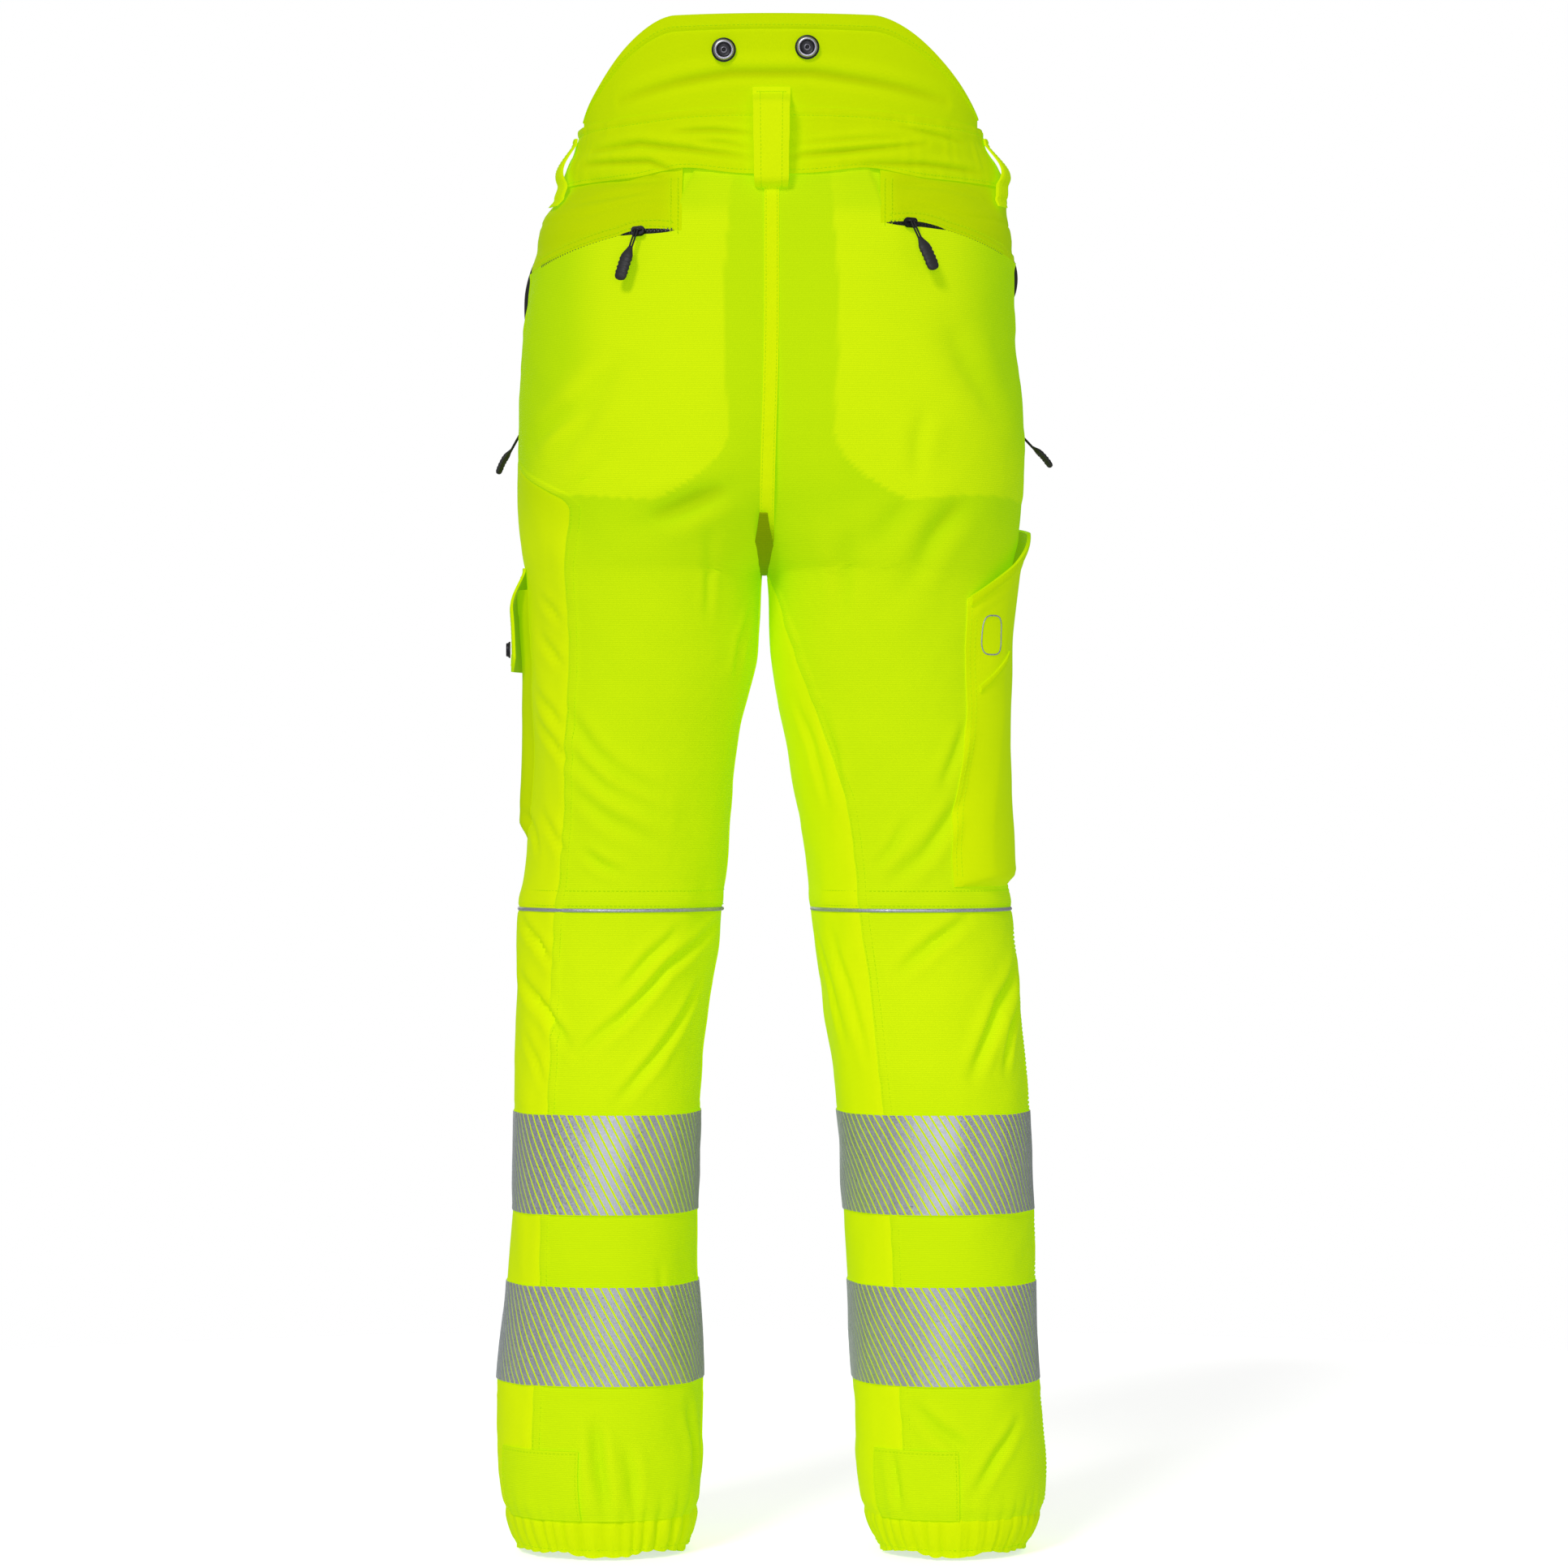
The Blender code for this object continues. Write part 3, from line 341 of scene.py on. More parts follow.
def fold_relief(side, z, angle):
    s = girth(angle)
    total = np.zeros_like(s)
    for folds, angle_of, shift in ((FOLDS[side], back_angle, 0.0), (FRONT_FOLDS, front_angle, 0.006 * side)):
        for half_width, depth, points in folds:
            xs, zs = np.array(points).T / 1000
            zs = zs + shift
            line = np.stack((girth(angle_of(side, zs, xs)), zs), axis=1)
            total += crease(s, z, line, 0.8 * half_width / 1000, depth / 1000)
    under_band = sum(np.exp(-(((z - top + 0.0375) / 0.045) ** 8)) for top in BAND_TOPS.values())
    return total * (1 - 0.6 * under_band)


def crease(s, z, line, width, depth):
    """A valley with soft shoulders along a polyline in the cloth's own plane."""
    shape = np.broadcast(s, z).shape
    total = np.full(shape, 1e9)
    across = np.zeros(shape)
    along = np.zeros(shape)
    count = len(line) - 1
    for i in range(count):
        start, step = line[i], line[i + 1] - line[i]
        length = np.hypot(*step)
        t = np.clip(((s - start[0]) * step[0] + (z - start[1]) * step[1]) / length**2, 0, 1)
        ds, dz = s - start[0] - t * step[0], z - start[1] - t * step[1]
        distance = np.hypot(ds, dz)
        nearer = distance < total
        total = np.where(nearer, distance, total)
        across = np.where(nearer, np.sign(step[0] * dz - step[1] * ds), across)
        along = np.where(nearer, (i + t) / count, along)
    taper = np.sin(math.pi * np.clip(along, 0.02, 0.98)) ** 0.6
    d = total * across / width
    valley = 1.45 * np.exp(-(d**2))
    shoulder = np.exp(-(((np.abs(d) - 2.1) / 1.3) ** 2))
    return depth * taper * (0.75 * shoulder - valley)


def pleats(angle, seed, pitch):
    """Irregular gathers round a hem: rounded ridges with sharp valleys."""
    s = girth(angle)
    shifted = s / pitch + 0.9 * noise(s / (2.3 * pitch), s * 0 + 0.5, seed)
    wave = np.abs(np.sin(math.pi * shifted)) ** 0.7
    strength = 0.75 + 0.45 * noise(s / (3.1 * pitch), s * 0 + 7.5, seed + 1)
    return strength * (wave - 0.6)


def round_leg(pattern, angle):
    """A pattern along the angle, made to meet itself at the inner leg."""
    t = ease((angle - 2 * math.pi + 0.6) / 0.6)
    return mix(pattern(angle), pattern(angle - 2 * math.pi), t)


def hem_pleats(side, angle):
    """The gathers that the leg's end and its elastic hem share."""
    return round_leg(lambda at: pleats(at, 31 + side, 0.0150), np.mod(angle, 2 * math.pi))


def near_hem(z):
    """From 0 well above the elastic hem to 1 where the cloth is gathered into it."""
    return ease((-0.962 - z) / 0.039)


def gather_relief(side, z, angle):
    """Fullness of the ankle cloth gathered into the elastic hem."""
    billow = 0.0030 * np.sin(math.pi * np.clip((-0.945 - z) / 0.054, 0, 1))
    fullness = 0.6 + 0.4 * noise(girth(angle) / 0.03, z * 0, 5)
    drawn_in = 0.0022 * ease((-0.990 - z) / 0.011)
    return near_hem(z) ** 2 * 0.0024 * hem_pleats(side, angle) + billow * fullness - drawn_in


def creased(s, z):
    """Fine unevenness of worn cloth, at three scales."""
    broad = 0.0026 * noise(s / 0.075 + z / 0.20, z / 0.11, 11)
    middle = 0.0009 * noise(s / 0.024 + z / 0.05, z / 0.030, 12)
    return broad + middle + 0.00016 * noise(s / 0.007, z / 0.009, 13)


def wrinkle_relief(side, z, angle):
    bumps = round_leg(lambda at: creased(girth(at) + side, z), angle)
    calm = 0.35 + 0.65 * ease((-0.02 - z) / 0.16)
    tension = np.where(np.abs(z + 0.80) < 0.11, 0.75, 1.0)
    return bumps * calm * tension


def waist_folds(s, z):
    """Wrinkles that the elastic pulls into the waist. s is the distance round from the centre back."""
    total = np.zeros(np.broadcast(s, z).shape)
    for half_width, depth, points in WAIST_FOLDS:
        line = []
        for x, height in points:
            angle = back_angle(LEFT if x > 0 else RIGHT, height / 1000, abs(x) / 1000)
            line.append((math.copysign(WAIST_RADIUS * (1.5 * math.pi - angle), x), height / 1000))
        total = total + crease(s, z, np.array(line), half_width / 1000, depth / 1000)
    return 1.12 * total


def waist_relief(side, z, angle):
    """The waist's wrinkles die out down the seat."""
    s = side * WAIST_RADIUS * (1.5 * math.pi - angle)
    fade = ease((z + 0.045) / 0.02)
    return fade * (waist_folds(s, z) + 0.0005 * noise(s / 0.045, z / 0.0085 + s / 0.05, 21))


def knee_relief(z, angle):
    """The turned edge above the knee piping and the slight pull below it."""
    back = ease((angle - math.radians(172)) / 0.12)
    above = np.exp(-(((z - KNEE_Z - 0.008) / 0.008) ** 2))
    groove = np.exp(-(((z - KNEE_Z) / 0.0022) ** 2))
    return back * (0.0010 * above - 0.0012 * groove)


def hip_flare(side, z, angle):
    """The cloth stands out at the sides, just under the pulled-in waistband."""
    reach = 0.0105 if side == LEFT else 0.0150
    above = ease((0.036 - z) / 0.034)
    below = 1 - ease((-0.002 - z) / 0.026)
    return reach * np.exp(-(((angle - math.pi) / 0.42) ** 2)) * above * below


def relief(side, z, angle):
    return (
        hip_flare(side, z, angle)
        + FOLD_SCALE * fold_relief(side, z, angle)
        + gather_relief(side, z, angle)
        + wrinkle_relief(side, z, angle)
        + waist_relief(side, z, angle)
        + knee_relief(z, angle)
    )


def cloth(side, z, angle, lift=0.0):
    """Points on the folded cloth."""
    z, angle, lift = np.broadcast_arrays(np.asarray(z, float), angle, lift)
    return skin(side, z, angle, lift + relief(side, z, np.mod(angle, 2 * math.pi)))


def cloth_normal(side, z, angle):
    """Outward unit normals of the folded cloth."""
    step = 0.0012
    across = cloth(side, z, angle + step / LEG_RADIUS) - cloth(side, z, angle - step / LEG_RADIUS)
    down = cloth(side, z - step, angle) - cloth(side, z + step, angle)
    normal = np.cross(across, down)
    out = skin(side, z, angle, 0.01) - skin(side, z, angle)
    normal *= np.sign(np.sum(normal * out, axis=-1, keepdims=True))
    return normal / np.linalg.norm(normal, axis=-1, keepdims=True)


# ---------------------------------------------------------------- materials
def nodes_of(material):
    tree = material.node_tree
    return tree, tree.nodes["Principled BSDF"]


def new_material(name, colour, roughness, metallic=0.0):
    made = bpy.data.materials.new(name)
    made.use_nodes = True
    _, shader = nodes_of(made)
    shader.inputs["Base Color"].default_value = (*colour, 1)
    shader.inputs["Roughness"].default_value = roughness
    shader.inputs["Metallic"].default_value = metallic
    return made


def texture(tree, kind, place, **inputs):
    """A texture node read at the given coordinates."""
    node = tree.nodes.new(kind)
    for key, value in inputs.items():
        node.inputs[key].default_value = value
    tree.links.new(place, node.inputs["Vector"])
    return node


def object_place(tree):
    return tree.nodes.new("ShaderNodeTexCoord").outputs["Object"]


def scaled(colour, factor):
    return tuple(c * factor for c in colour)


def math_node(tree, operation, first, second):
    node = tree.nodes.new("ShaderNodeMath")
    node.operation = operation
    for socket, value in zip(node.inputs, (first, second)):
        if isinstance(value, (int, float)):
            socket.default_value = value
        else:
            tree.links.new(value, socket)
    return node.outputs[0]


def colour_mix(tree, factor, first, second):
    node = tree.nodes.new("ShaderNodeMix")
    node.data_type = "RGBA"
    tree.links.new(factor, node.inputs[0])
    for socket, value in ((node.inputs[6], first), (node.inputs[7], second)):
        if isinstance(value, tuple):
            socket.default_value = (*value, 1)
        else:
            tree.links.new(value, socket)
    return node.outputs[2]


def ribs(tree, vector, axis, pitch):
    """A soft 0-1 stripe pattern of one pitch along U or V. The last node adds its third input, 0.5."""
    split = tree.nodes.new("ShaderNodeSeparateXYZ")
    tree.links.new(vector, split.inputs[0])
    phase = math_node(tree, "MULTIPLY", split.outputs[axis], 2 * math.pi / pitch)
    wave = math_node(tree, "SINE", phase, 0.0)
    return math_node(tree, "MULTIPLY_ADD", wave, 0.5)


def bump(tree, shader, height, distance, strength):
    node = tree.nodes.new("ShaderNodeBump")
    node.inputs["Distance"].default_value = distance
    node.inputs["Strength"].default_value = strength
    tree.links.new(height, node.inputs["Height"])
    tree.links.new(node.outputs[0], shader.inputs["Normal"])


WARP_PITCH = 0.0009


def fluorescent(name, diffuse, bright, glow, rib_pitch, rib_depth, toned=True):
    """Dyed cloth that glows in the green, a painted glow: its emission shines whatever lamps fall on it. Its
    "tone" attribute brightens it above 0 and dims it below, glow and all; in places the tone is painted
    shade and painted highlight.
    """
    made = new_material(name, diffuse, 0.85)
    tree, shader = nodes_of(made)
    uv = tree.nodes.new("ShaderNodeUVMap").outputs[0]
    tone = tree.nodes.new("ShaderNodeAttribute")
    tone.attribute_name = "tone"
    lifted = colour_mix(tree, tone.outputs["Fac"], diffuse, bright)
    shadow = math_node(tree, "MULTIPLY", tone.outputs["Fac"], -1.0)
    base = colour_mix(tree, shadow, lifted, scaled(diffuse, 0.45))
    cross = ribs(tree, uv, 1, rib_pitch)
    warp = ribs(tree, uv, 0, WARP_PITCH)
    blotch = texture(tree, "ShaderNodeTexNoise", uv, Scale=26.0, Detail=4.0)
    worn = math_node(tree, "MULTIPLY", blotch.outputs["Fac"], 0.09)
    shade = math_node(tree, "ADD", worn, math_node(tree, "MULTIPLY", cross, rib_depth))
    tree.links.new(colour_mix(tree, shade, base, scaled(diffuse, 0.72)), shader.inputs["Base Color"])
    # Painted glow: emission that shines without a lamp, dimmed with the painted shade where the tone is
    # below 0.
    shader.inputs["Emission Color"].default_value = (*glow, 1)
    if toned:
        dim = colour_mix(tree, shadow, glow, scaled(glow, 0.30))
        tree.links.new(dim, shader.inputs["Emission Color"])
    shader.inputs["Emission Strength"].default_value = 1.0
    shader.inputs["Sheen Weight"].default_value = 0.05
    shader.inputs["Sheen Roughness"].default_value = 0.5
    shader.inputs["Sheen Tint"].default_value = (0.8, 1.0, 0.02, 1)
    shader.inputs["Specular IOR Level"].default_value = 0.12
    shader.inputs["Specular Tint"].default_value = (0.8, 1.0, 0.05, 1)
    height = math_node(tree, "ADD", cross, math_node(tree, "MULTIPLY", warp, 0.5))
    bump(tree, shader, height, 0.0002, 0.35)
    return made


def film_material():
    """Heat-applied retroreflective film: grey glass beads over aluminium."""
    made = new_material("reflective_film", (0.46, 0.475, 0.49), 0.42, 0.66)
    tree, shader = nodes_of(made)
    beads = texture(tree, "ShaderNodeTexNoise", object_place(tree), Scale=900.0, Detail=2.0).outputs["Fac"]
    speckle = colour_mix(tree, beads, (0.21, 0.235, 0.27), (0.68, 0.70, 0.80))
    tree.links.new(speckle, shader.inputs["Base Color"])
    tree.links.new(math_node(tree, "MULTIPLY", beads, 0.95), shader.inputs["Roughness"])
    bump(tree, shader, beads, 0.0002, 0.5)
    return made


def woven(name, colour, scale, roughness):
    """Small dark cells between raised threads."""
    made = new_material(name, colour, roughness)
    tree, shader = nodes_of(made)
    weave = texture(tree, "ShaderNodeTexVoronoi", object_place(tree), Scale=scale).outputs["Distance"]
    tree.links.new(colour_mix(tree, weave, colour, scaled(colour, 0.55)), shader.inputs["Base Color"])
    bump(tree, shader, weave, 0.0003, 0.4)
    return made


def scuffed(name, colour, roughness, metallic):
    """Metal or moulded rubber with fine handling marks."""
    made = new_material(name, colour, roughness, metallic)
    tree, shader = nodes_of(made)
    marks = texture(tree, "ShaderNodeTexNoise", object_place(tree), Scale=420.0, Detail=5.0).outputs["Fac"]
    spread = math_node(tree, "MULTIPLY", marks, 0.5)
    tree.links.new(math_node(tree, "ADD", spread, roughness - 0.2), shader.inputs["Roughness"])
    bump(tree, shader, marks, 0.0001, 0.3)
    return made


# fluorescent cloths: plain and bright colours, the colour of their painted glow, pitch of the ribs and how
# dark they are
MATERIALS = {
    "ripstop": fluorescent(
        "ripstop", (0.455, 0.485, 0.002), (0.650, 0.615, 0.003), (0.12, 0.365, 0.001), 0.0014, 0.30
    ),
    "smooth": fluorescent(
        "smooth_stretch", (0.545, 0.51, 0.001), (0.690, 0.640, 0.003), (0.13, 0.35, 0.0), 0.0007, 0.18
    ),
    "lining": fluorescent(
        "lining", (0.50, 0.47, 0.12), (0.55, 0.5, 0.2), (0.05, 0.14, 0.0), 0.0012, 0.3, toned=False
    ),
    "thread": fluorescent(
        "thread", (0.60, 0.52, 0.004), (0.6, 0.5, 0.02), (0.05, 0.33, 0.0), 0.0006, 0.3, toned=False
    ),
    "film": film_material(),
    "tape": woven("zip_tape", (0.012, 0.012, 0.014), 1400.0, 0.8),
    "teeth": scuffed("zip_teeth", (0.02, 0.02, 0.022), 0.4, 0.0),
    "rubber": scuffed("moulded_rubber", (0.016, 0.016, 0.018), 0.55, 0.0),
    "metal": scuffed("burnished_metal", (0.42, 0.41, 0.47), 0.32, 0.95),
    "dark_metal": scuffed("dark_metal", (0.03, 0.03, 0.035), 0.38, 0.8),
    "padding": woven("padding_fleece", (0.80, 0.80, 0.77), 900.0, 0.95),
}


# ---------------------------------------------------------------- mesh building
PIECES = {}


def linked(name, data):
    made = bpy.data.objects.new(name, data)
    bpy.context.scene.collection.objects.link(made)
    return made


def make_object(name, points, faces, material_names, face_materials=None, uv=None, tone=None, sharp=50):
    mesh = bpy.data.meshes.new(name)
    mesh.from_pydata(np.asarray(points).tolist(), [], faces)
    for each in material_names:
        mesh.materials.append(MATERIALS[each])
    if face_materials is not None:
        mesh.polygons.foreach_set("material_index", np.asarray(face_materials, np.int32))
    loops = np.empty(len(mesh.loops), np.int32)
    mesh.loops.foreach_get("vertex_index", loops)
    if uv is None:
        uv = np.asarray(points)[:, [0, 2]]
    layer = mesh.uv_layers.new(name="cloth")
    layer.data.foreach_set("uv", np.asarray(uv, np.float32)[loops].ravel())
    if tone is not None:
        attribute = mesh.attributes.new("tone", "FLOAT", "POINT")
        attribute.data.foreach_set("value", np.asarray(tone, np.float32))
    mesh.validate()
    mesh.shade_smooth()
    mesh.set_sharp_from_angle(angle=math.radians(sharp))
    PIECES[name] = linked(name, mesh)
    return PIECES[name]


def grid_faces(rows, cols, base=0, ring=False, flip=False):
    """Quads of a grid whose vertices are numbered row by row."""
    j = np.arange(cols if ring else cols - 1)
    i = np.arange(rows - 1)[:, None]
    k = (j + 1) % cols
    quads = np.stack((i * cols + j, i * cols + k, (i + 1) * cols + k, (i + 1) * cols + j), axis=-1)
    quads = quads.reshape(-1, 4) + base
    return quads[:, ::-1] if flip else quads


def rim_faces(loop, depth, flip):
    """Quads that join a closed run of outer vertices to the inner ones."""
    a, b = np.asarray(loop), np.roll(loop, -1)
    quads = np.stack((a, b, b + depth, a + depth), axis=-1)
    return quads[:, ::-1] if flip else quads


def sheet_faces(rows, cols, flip, ring=False):
    """Faces of a closed thin sheet: its outer grid, its inner grid and its rims."""
    depth = rows * cols
    ids = np.arange(depth).reshape(rows, cols)
    if ring:
        rims = [rim_faces(ids[0], depth, not flip), rim_faces(ids[-1], depth, flip)]
    else:
        loop = np.concatenate((ids[0, :-1], ids[:-1, -1], ids[-1, :0:-1], ids[:0:-1, 0]))
        rims = [rim_faces(loop, depth, not flip)]
    return [grid_faces(rows, cols, 0, ring, flip), grid_faces(rows, cols, depth, ring, not flip), *rims]


def shell(name, outer, inner, skin_material, back_material=None, ring=False, uv=None, tone=None, sharp=50):
    """A closed piece of cloth between two grids of points (rows, columns, 3)."""
    rows, cols = outer.shape[:2]
    points = np.concatenate((outer.reshape(-1, 3), inner.reshape(-1, 3)))
    normal = np.cross(outer[0, 1] - outer[0, 0], outer[1, 0] - outer[0, 0])
    flip = bool(normal @ (outer[0, 0] - inner[0, 0]) < 0)
    front, back, *rims = sheet_faces(rows, cols, flip, ring)
    faces = np.concatenate([front, back, *rims])
    marks = np.zeros(len(faces), np.int32)
    marks[len(front):len(front) + len(back)] = 1 if back_material else 0
    names = [skin_material] + ([back_material] if back_material else [])
    if uv is not None:
        uv = np.concatenate((uv.reshape(-1, 2), uv.reshape(-1, 2)))
    if tone is not None:
        tone = np.concatenate((tone.ravel(), tone.ravel()))
    return make_object(name, points, faces.tolist(), names, marks, uv, tone, sharp)


def steps(length, pitch):
    return max(2, int(math.ceil(length / (pitch * FINE))) + 1)


def unit_grid(rows, cols):
    """From 0 to 1 down the rows and from 0 to 1 along the columns, ready to broadcast."""
    return np.linspace(0, 1, rows)[:, None], np.linspace(0, 1, cols)[None, :]


def layers(surface, side, heights, angles, lifts, thickness):
    """The outer and inner faces of a layer of cloth on one half."""
    return surface(side, heights, angles, lifts), surface(side, heights, angles, lifts - thickness)


def cloth_uv(side, angles, heights):
    return np.stack((girth(angles) * side, heights), axis=-1)


def crease_tone(side, heights, angles):
    """Folded cloth lights itself less in its valleys and a little more on its ridges."""
    folds = FOLD_SCALE * fold_relief(side, heights, np.mod(angles, 2 * math.pi))
    gathers = 0.5 * near_hem(heights) ** 2 * hem_pleats(side, angles)
    return np.clip(folds * 70, -0.26, 0.20) + gathers


def surface_panel(name, side, angles, heights, lifts, thickness, finish, tone):
    """A lined shell on one half from grids of angles, heights and lifts."""
    outer, inner = layers(cloth, side, heights, angles, lifts, thickness)
    tone = crease_tone(side, heights, angles) + tone
    return shell(name, outer, inner, finish, "lining", uv=cloth_uv(side, angles, heights), tone=tone)


def bend_at_knee(obj):
    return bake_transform(obj)


# ---------------------------------------------------------------- thread
def distances(line):
    """How far each point of a line is along it."""
    return np.concatenate(([0], np.cumsum(np.linalg.norm(np.diff(line, axis=0), axis=1))))


def read_along(run, values, at):
    """Values given at the distances run, read at other distances."""
    return np.stack([np.interp(at, run, values[:, k]) for k in range(3)], axis=1)


class Thread:
    """Collects stitches, each ten points long, and makes one object of them per place they ride on."""

    def __init__(self):
        self.points = {}

    def stitches(self, key, line, normals, pitch=0.0033, length=0.0024, radius=0.00030):
        line, normals = np.asarray(line), np.asarray(normals)
        run = distances(line)
        count = int(run[-1] / pitch)
        if count < 1:
            return
        at = (np.arange(count) + 0.5) * pitch
        ends = [read_along(run, line, at + shift) for shift in (-length / 2, length / 2)]
        outs = read_along(run, normals, at)
        outs /= np.linalg.norm(outs, axis=1, keepdims=True)
        middle = (ends[0] + ends[1]) / 2
        along = ends[1] - ends[0]
        along /= np.maximum(np.linalg.norm(along, axis=1, keepdims=True), 1e-9)
        sideways = np.cross(outs, along)
        ring = [sideways, outs, -sideways, -outs]
        rows = [ends[0] - outs * radius * 0.6]
        for place in (mix(ends[0], middle, 0.35), mix(ends[1], middle, 0.35)):
            rows += [place + radius * way for way in ring]
        rows.append(ends[1] - outs * radius * 0.6)
        self.points.setdefault(key, []).append(np.stack(rows, axis=1))

    def build(self, key, name):
        sets = np.concatenate(self.points[key])
        around = [(k, (k + 1) % 4) for k in range(4)]
        caps = [(0, 1 + b, 1 + a) for a, b in around] + [(9, 5 + a, 5 + b) for a, b in around]
        walls = [(1 + a, 1 + b, 5 + b, 5 + a) for a, b in around]
        faces = []
        for n in range(len(sets)):
            base = 10 * n
            faces += [tuple(base + v for v in face) for face in caps + walls]
        return make_object(name, sets.reshape(-1, 3), faces, ["thread"])


THREAD = Thread()


def sew(key, side, heights, angles, lift=0.0, plain=False, pitch=0.0033):
    """A row of stitches along a line on a half."""
    heights, angles = np.broadcast_arrays(np.asarray(heights, float), np.asarray(angles, float))
    if plain:
        line = skin(side, heights, angles, lift)
        normals = skin(side, heights, angles, 0.01) - skin(side, heights, angles)
    else:
        line = cloth(side, heights, angles, lift)
        normals = cloth_normal(side, heights, angles)
    THREAD.stitches(key, line, normals, pitch)


# ---------------------------------------------------------------- body panels
SLIT_PROBE_Z = -0.045
# the two rows of stitches along a felled seam: distance from its edge and lift
SEAM_ROWS = ((0.0022, 0.0014), (0.0085, 0.0012))
FRONT_SEAMS_Z = (KNEE_Z + 0.075, KNEE_Z - 0.085)
FRONT_MIDDLE = math.radians(95)


def slit_height(side, x):
    spec = SLITS[side]
    flat_to = spec["inner"] + 0.022
    t = np.clip((x - flat_to) / (0.178 - flat_to), 0, 1)
    return spec["z"] - spec["drop"] * t**1.5


def slit_gape(side, x):
    """Half the height of the black opening of a back pocket's slit."""
    spec = SLITS[side]
    t = np.clip((x - spec["inner"]) / (spec["open_to"] - spec["inner"]), 0, 1)
    return 0.0021 * np.sin(math.pi * t) ** 0.55


def bag_tone(side, x, z):
    """Where the pocket bag behind the seat shows through as a brighter field."""
    inner, bottom = (0.031, -0.241) if side == LEFT else (0.044, -0.241)
    bow = 0.004 * np.sin((z + 0.03) / 0.16 * math.pi)
    corner = 0.055 * np.clip((-0.185 - z) / 0.056, 0, 1) ** 2.2
    inside = ease((x - inner - corner + bow) / 0.0016)
    low = ease((z - bottom - 0.002 * np.sin(x / 0.02)) / 0.0018)
    outer = 1 - ease((x - (0.118 if side == LEFT else 0.128) - 0.5 * np.clip(-0.14 - z, 0, 0.1)) / 0.045)
    under_waist = 1 - 0.55 * ease((z + 0.035) / 0.012)
    strip = 0.35 * ease((x - 0.125) / 0.02) * (1 - outer)
    return inside * low * np.maximum(outer, strip * 0.3) * under_waist


def leg_tone(z):
    """The legs are made brighter and yellower than the seat, most of all on the calf."""
    calf = np.exp(-(((z + 0.625) / 0.072) ** 4))
    return 0.6 * ease((-0.235 - z) / 0.08) + 0.3 * calf


def crotch_shade(side, xs, heights):
    """The cloth in the fork lies in its own shadow."""
    near = np.exp(-((xs / 0.010) ** 2))
    return (-0.3 if side == LEFT else -0.8) * near * np.exp(-(((heights + 0.300) / 0.030) ** 2))


def inner_leg_shade(angles, heights):
    """The other leg keeps the light off the top of the wrap."""
    return -1.2 * np.exp(-(((heights + 0.312) / 0.030) ** 2)) * np.exp(-(((angles + 0.06) / 0.28) ** 2))


def seam_lap(distance, s, seed):
    """Raised band of seam allowance beside a seam, slightly puckered by its stitches."""
    band = 1 - ease((distance - 0.0075) / 0.0035)
    pucker = 0.00045 * noise(s / 0.009, s * 0, seed) + 0.00035 * noise(s / 0.021, s * 0, seed + 1)
    edge = np.exp(-((distance / 0.0012) ** 2))
    return band * (0.0009 + pucker) - 0.0006 * edge


def build_back_panel(side):
    """Seat, thigh back, knee and calf in ripstop, from the waist or pocket slit to the hem."""
    label = NAMES[side]
    cols, above, below = steps(0.265, 0.0026), steps(0.05, 0.004), steps(0.95, 0.0027)
    fractions = np.linspace(0, 1, cols)[None, :]
    probe = mix(front_end(side, SLIT_PROBE_Z), back_end(side, SLIT_PROBE_Z), fractions)
    x = np.abs(skin(side, SLIT_PROBE_Z, probe)[..., 0])
    slit = slit_height(side, x) - slit_gape(side, x)
    upper = mix(0.008, slit + 0.0003, np.linspace(0, 1, above)[:, None])
    lower = mix(slit - 0.0003, CUFF_SEAM_Z + 0.001, np.linspace(0, 1, below)[:, None] ** 1.04)
    heights = np.concatenate((upper, lower))
    starts, ends = front_end(side, heights), back_end(side, heights)
    angles = mix(starts, ends, fractions)
    from_start, from_end = girth(angles - starts), girth(ends - angles)
    lap = seam_lap(from_start, heights, 41)
    if side == RIGHT:
        lap = np.maximum(lap, seam_lap(from_end, heights, 43) * ease((CROTCH_Z - heights) / 0.03))
    xs = np.abs(skin(side, heights, angles)[..., 0])
    bag = bag_tone(side, xs, heights) * (np.sin(angles) < 0)
    centre = (1 - ease((xs - 0.045) / 0.012)) * ease((heights + 0.25) / 0.05)
    tone = bag + 0.20 * (1 - bag) * centre + leg_tone(heights) + crotch_shade(side, xs, heights)
    pocketed = ease((x - SLITS[side]["inner"] + 0.004) / 0.003)
    lip = 0.0014 * np.exp(-(((heights - slit) / 0.004) ** 2))
    hidden = np.arange(len(heights))[:, None] < above
    tucked = 0.0008 * ease((heights + 0.006) / 0.005)
    lifts = 0.0004 + lap + pocketed * np.where(hidden, -0.0026, lip) - tucked
    made = surface_panel("back_panel_" + label, side, angles, heights, lifts, CLOTH, "ripstop", tone)
    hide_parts("seat_panel_" + label, "knee_panel_" + label, "shin_back_" + label)
    bend_at_knee(made)
    line = np.linspace(-0.30 if side == RIGHT else -0.245, CUFF_SEAM_Z + 0.004, 420)
    for inset, lift in SEAM_ROWS:
        sew(label, side, line, front_end(side, line) + inset / LEG_RADIUS, lift)
    if side == RIGHT:
        for inset, lift in SEAM_ROWS:
            sew(label, side, line, back_end(side, line) - inset / LEG_RADIUS, lift)


def front_seam(seam_z, angle):
    """Height of a seam that bows across the front of the knee."""
    return seam_z + 0.010 * np.cos((angle - FRONT_MIDDLE) * 1.2)


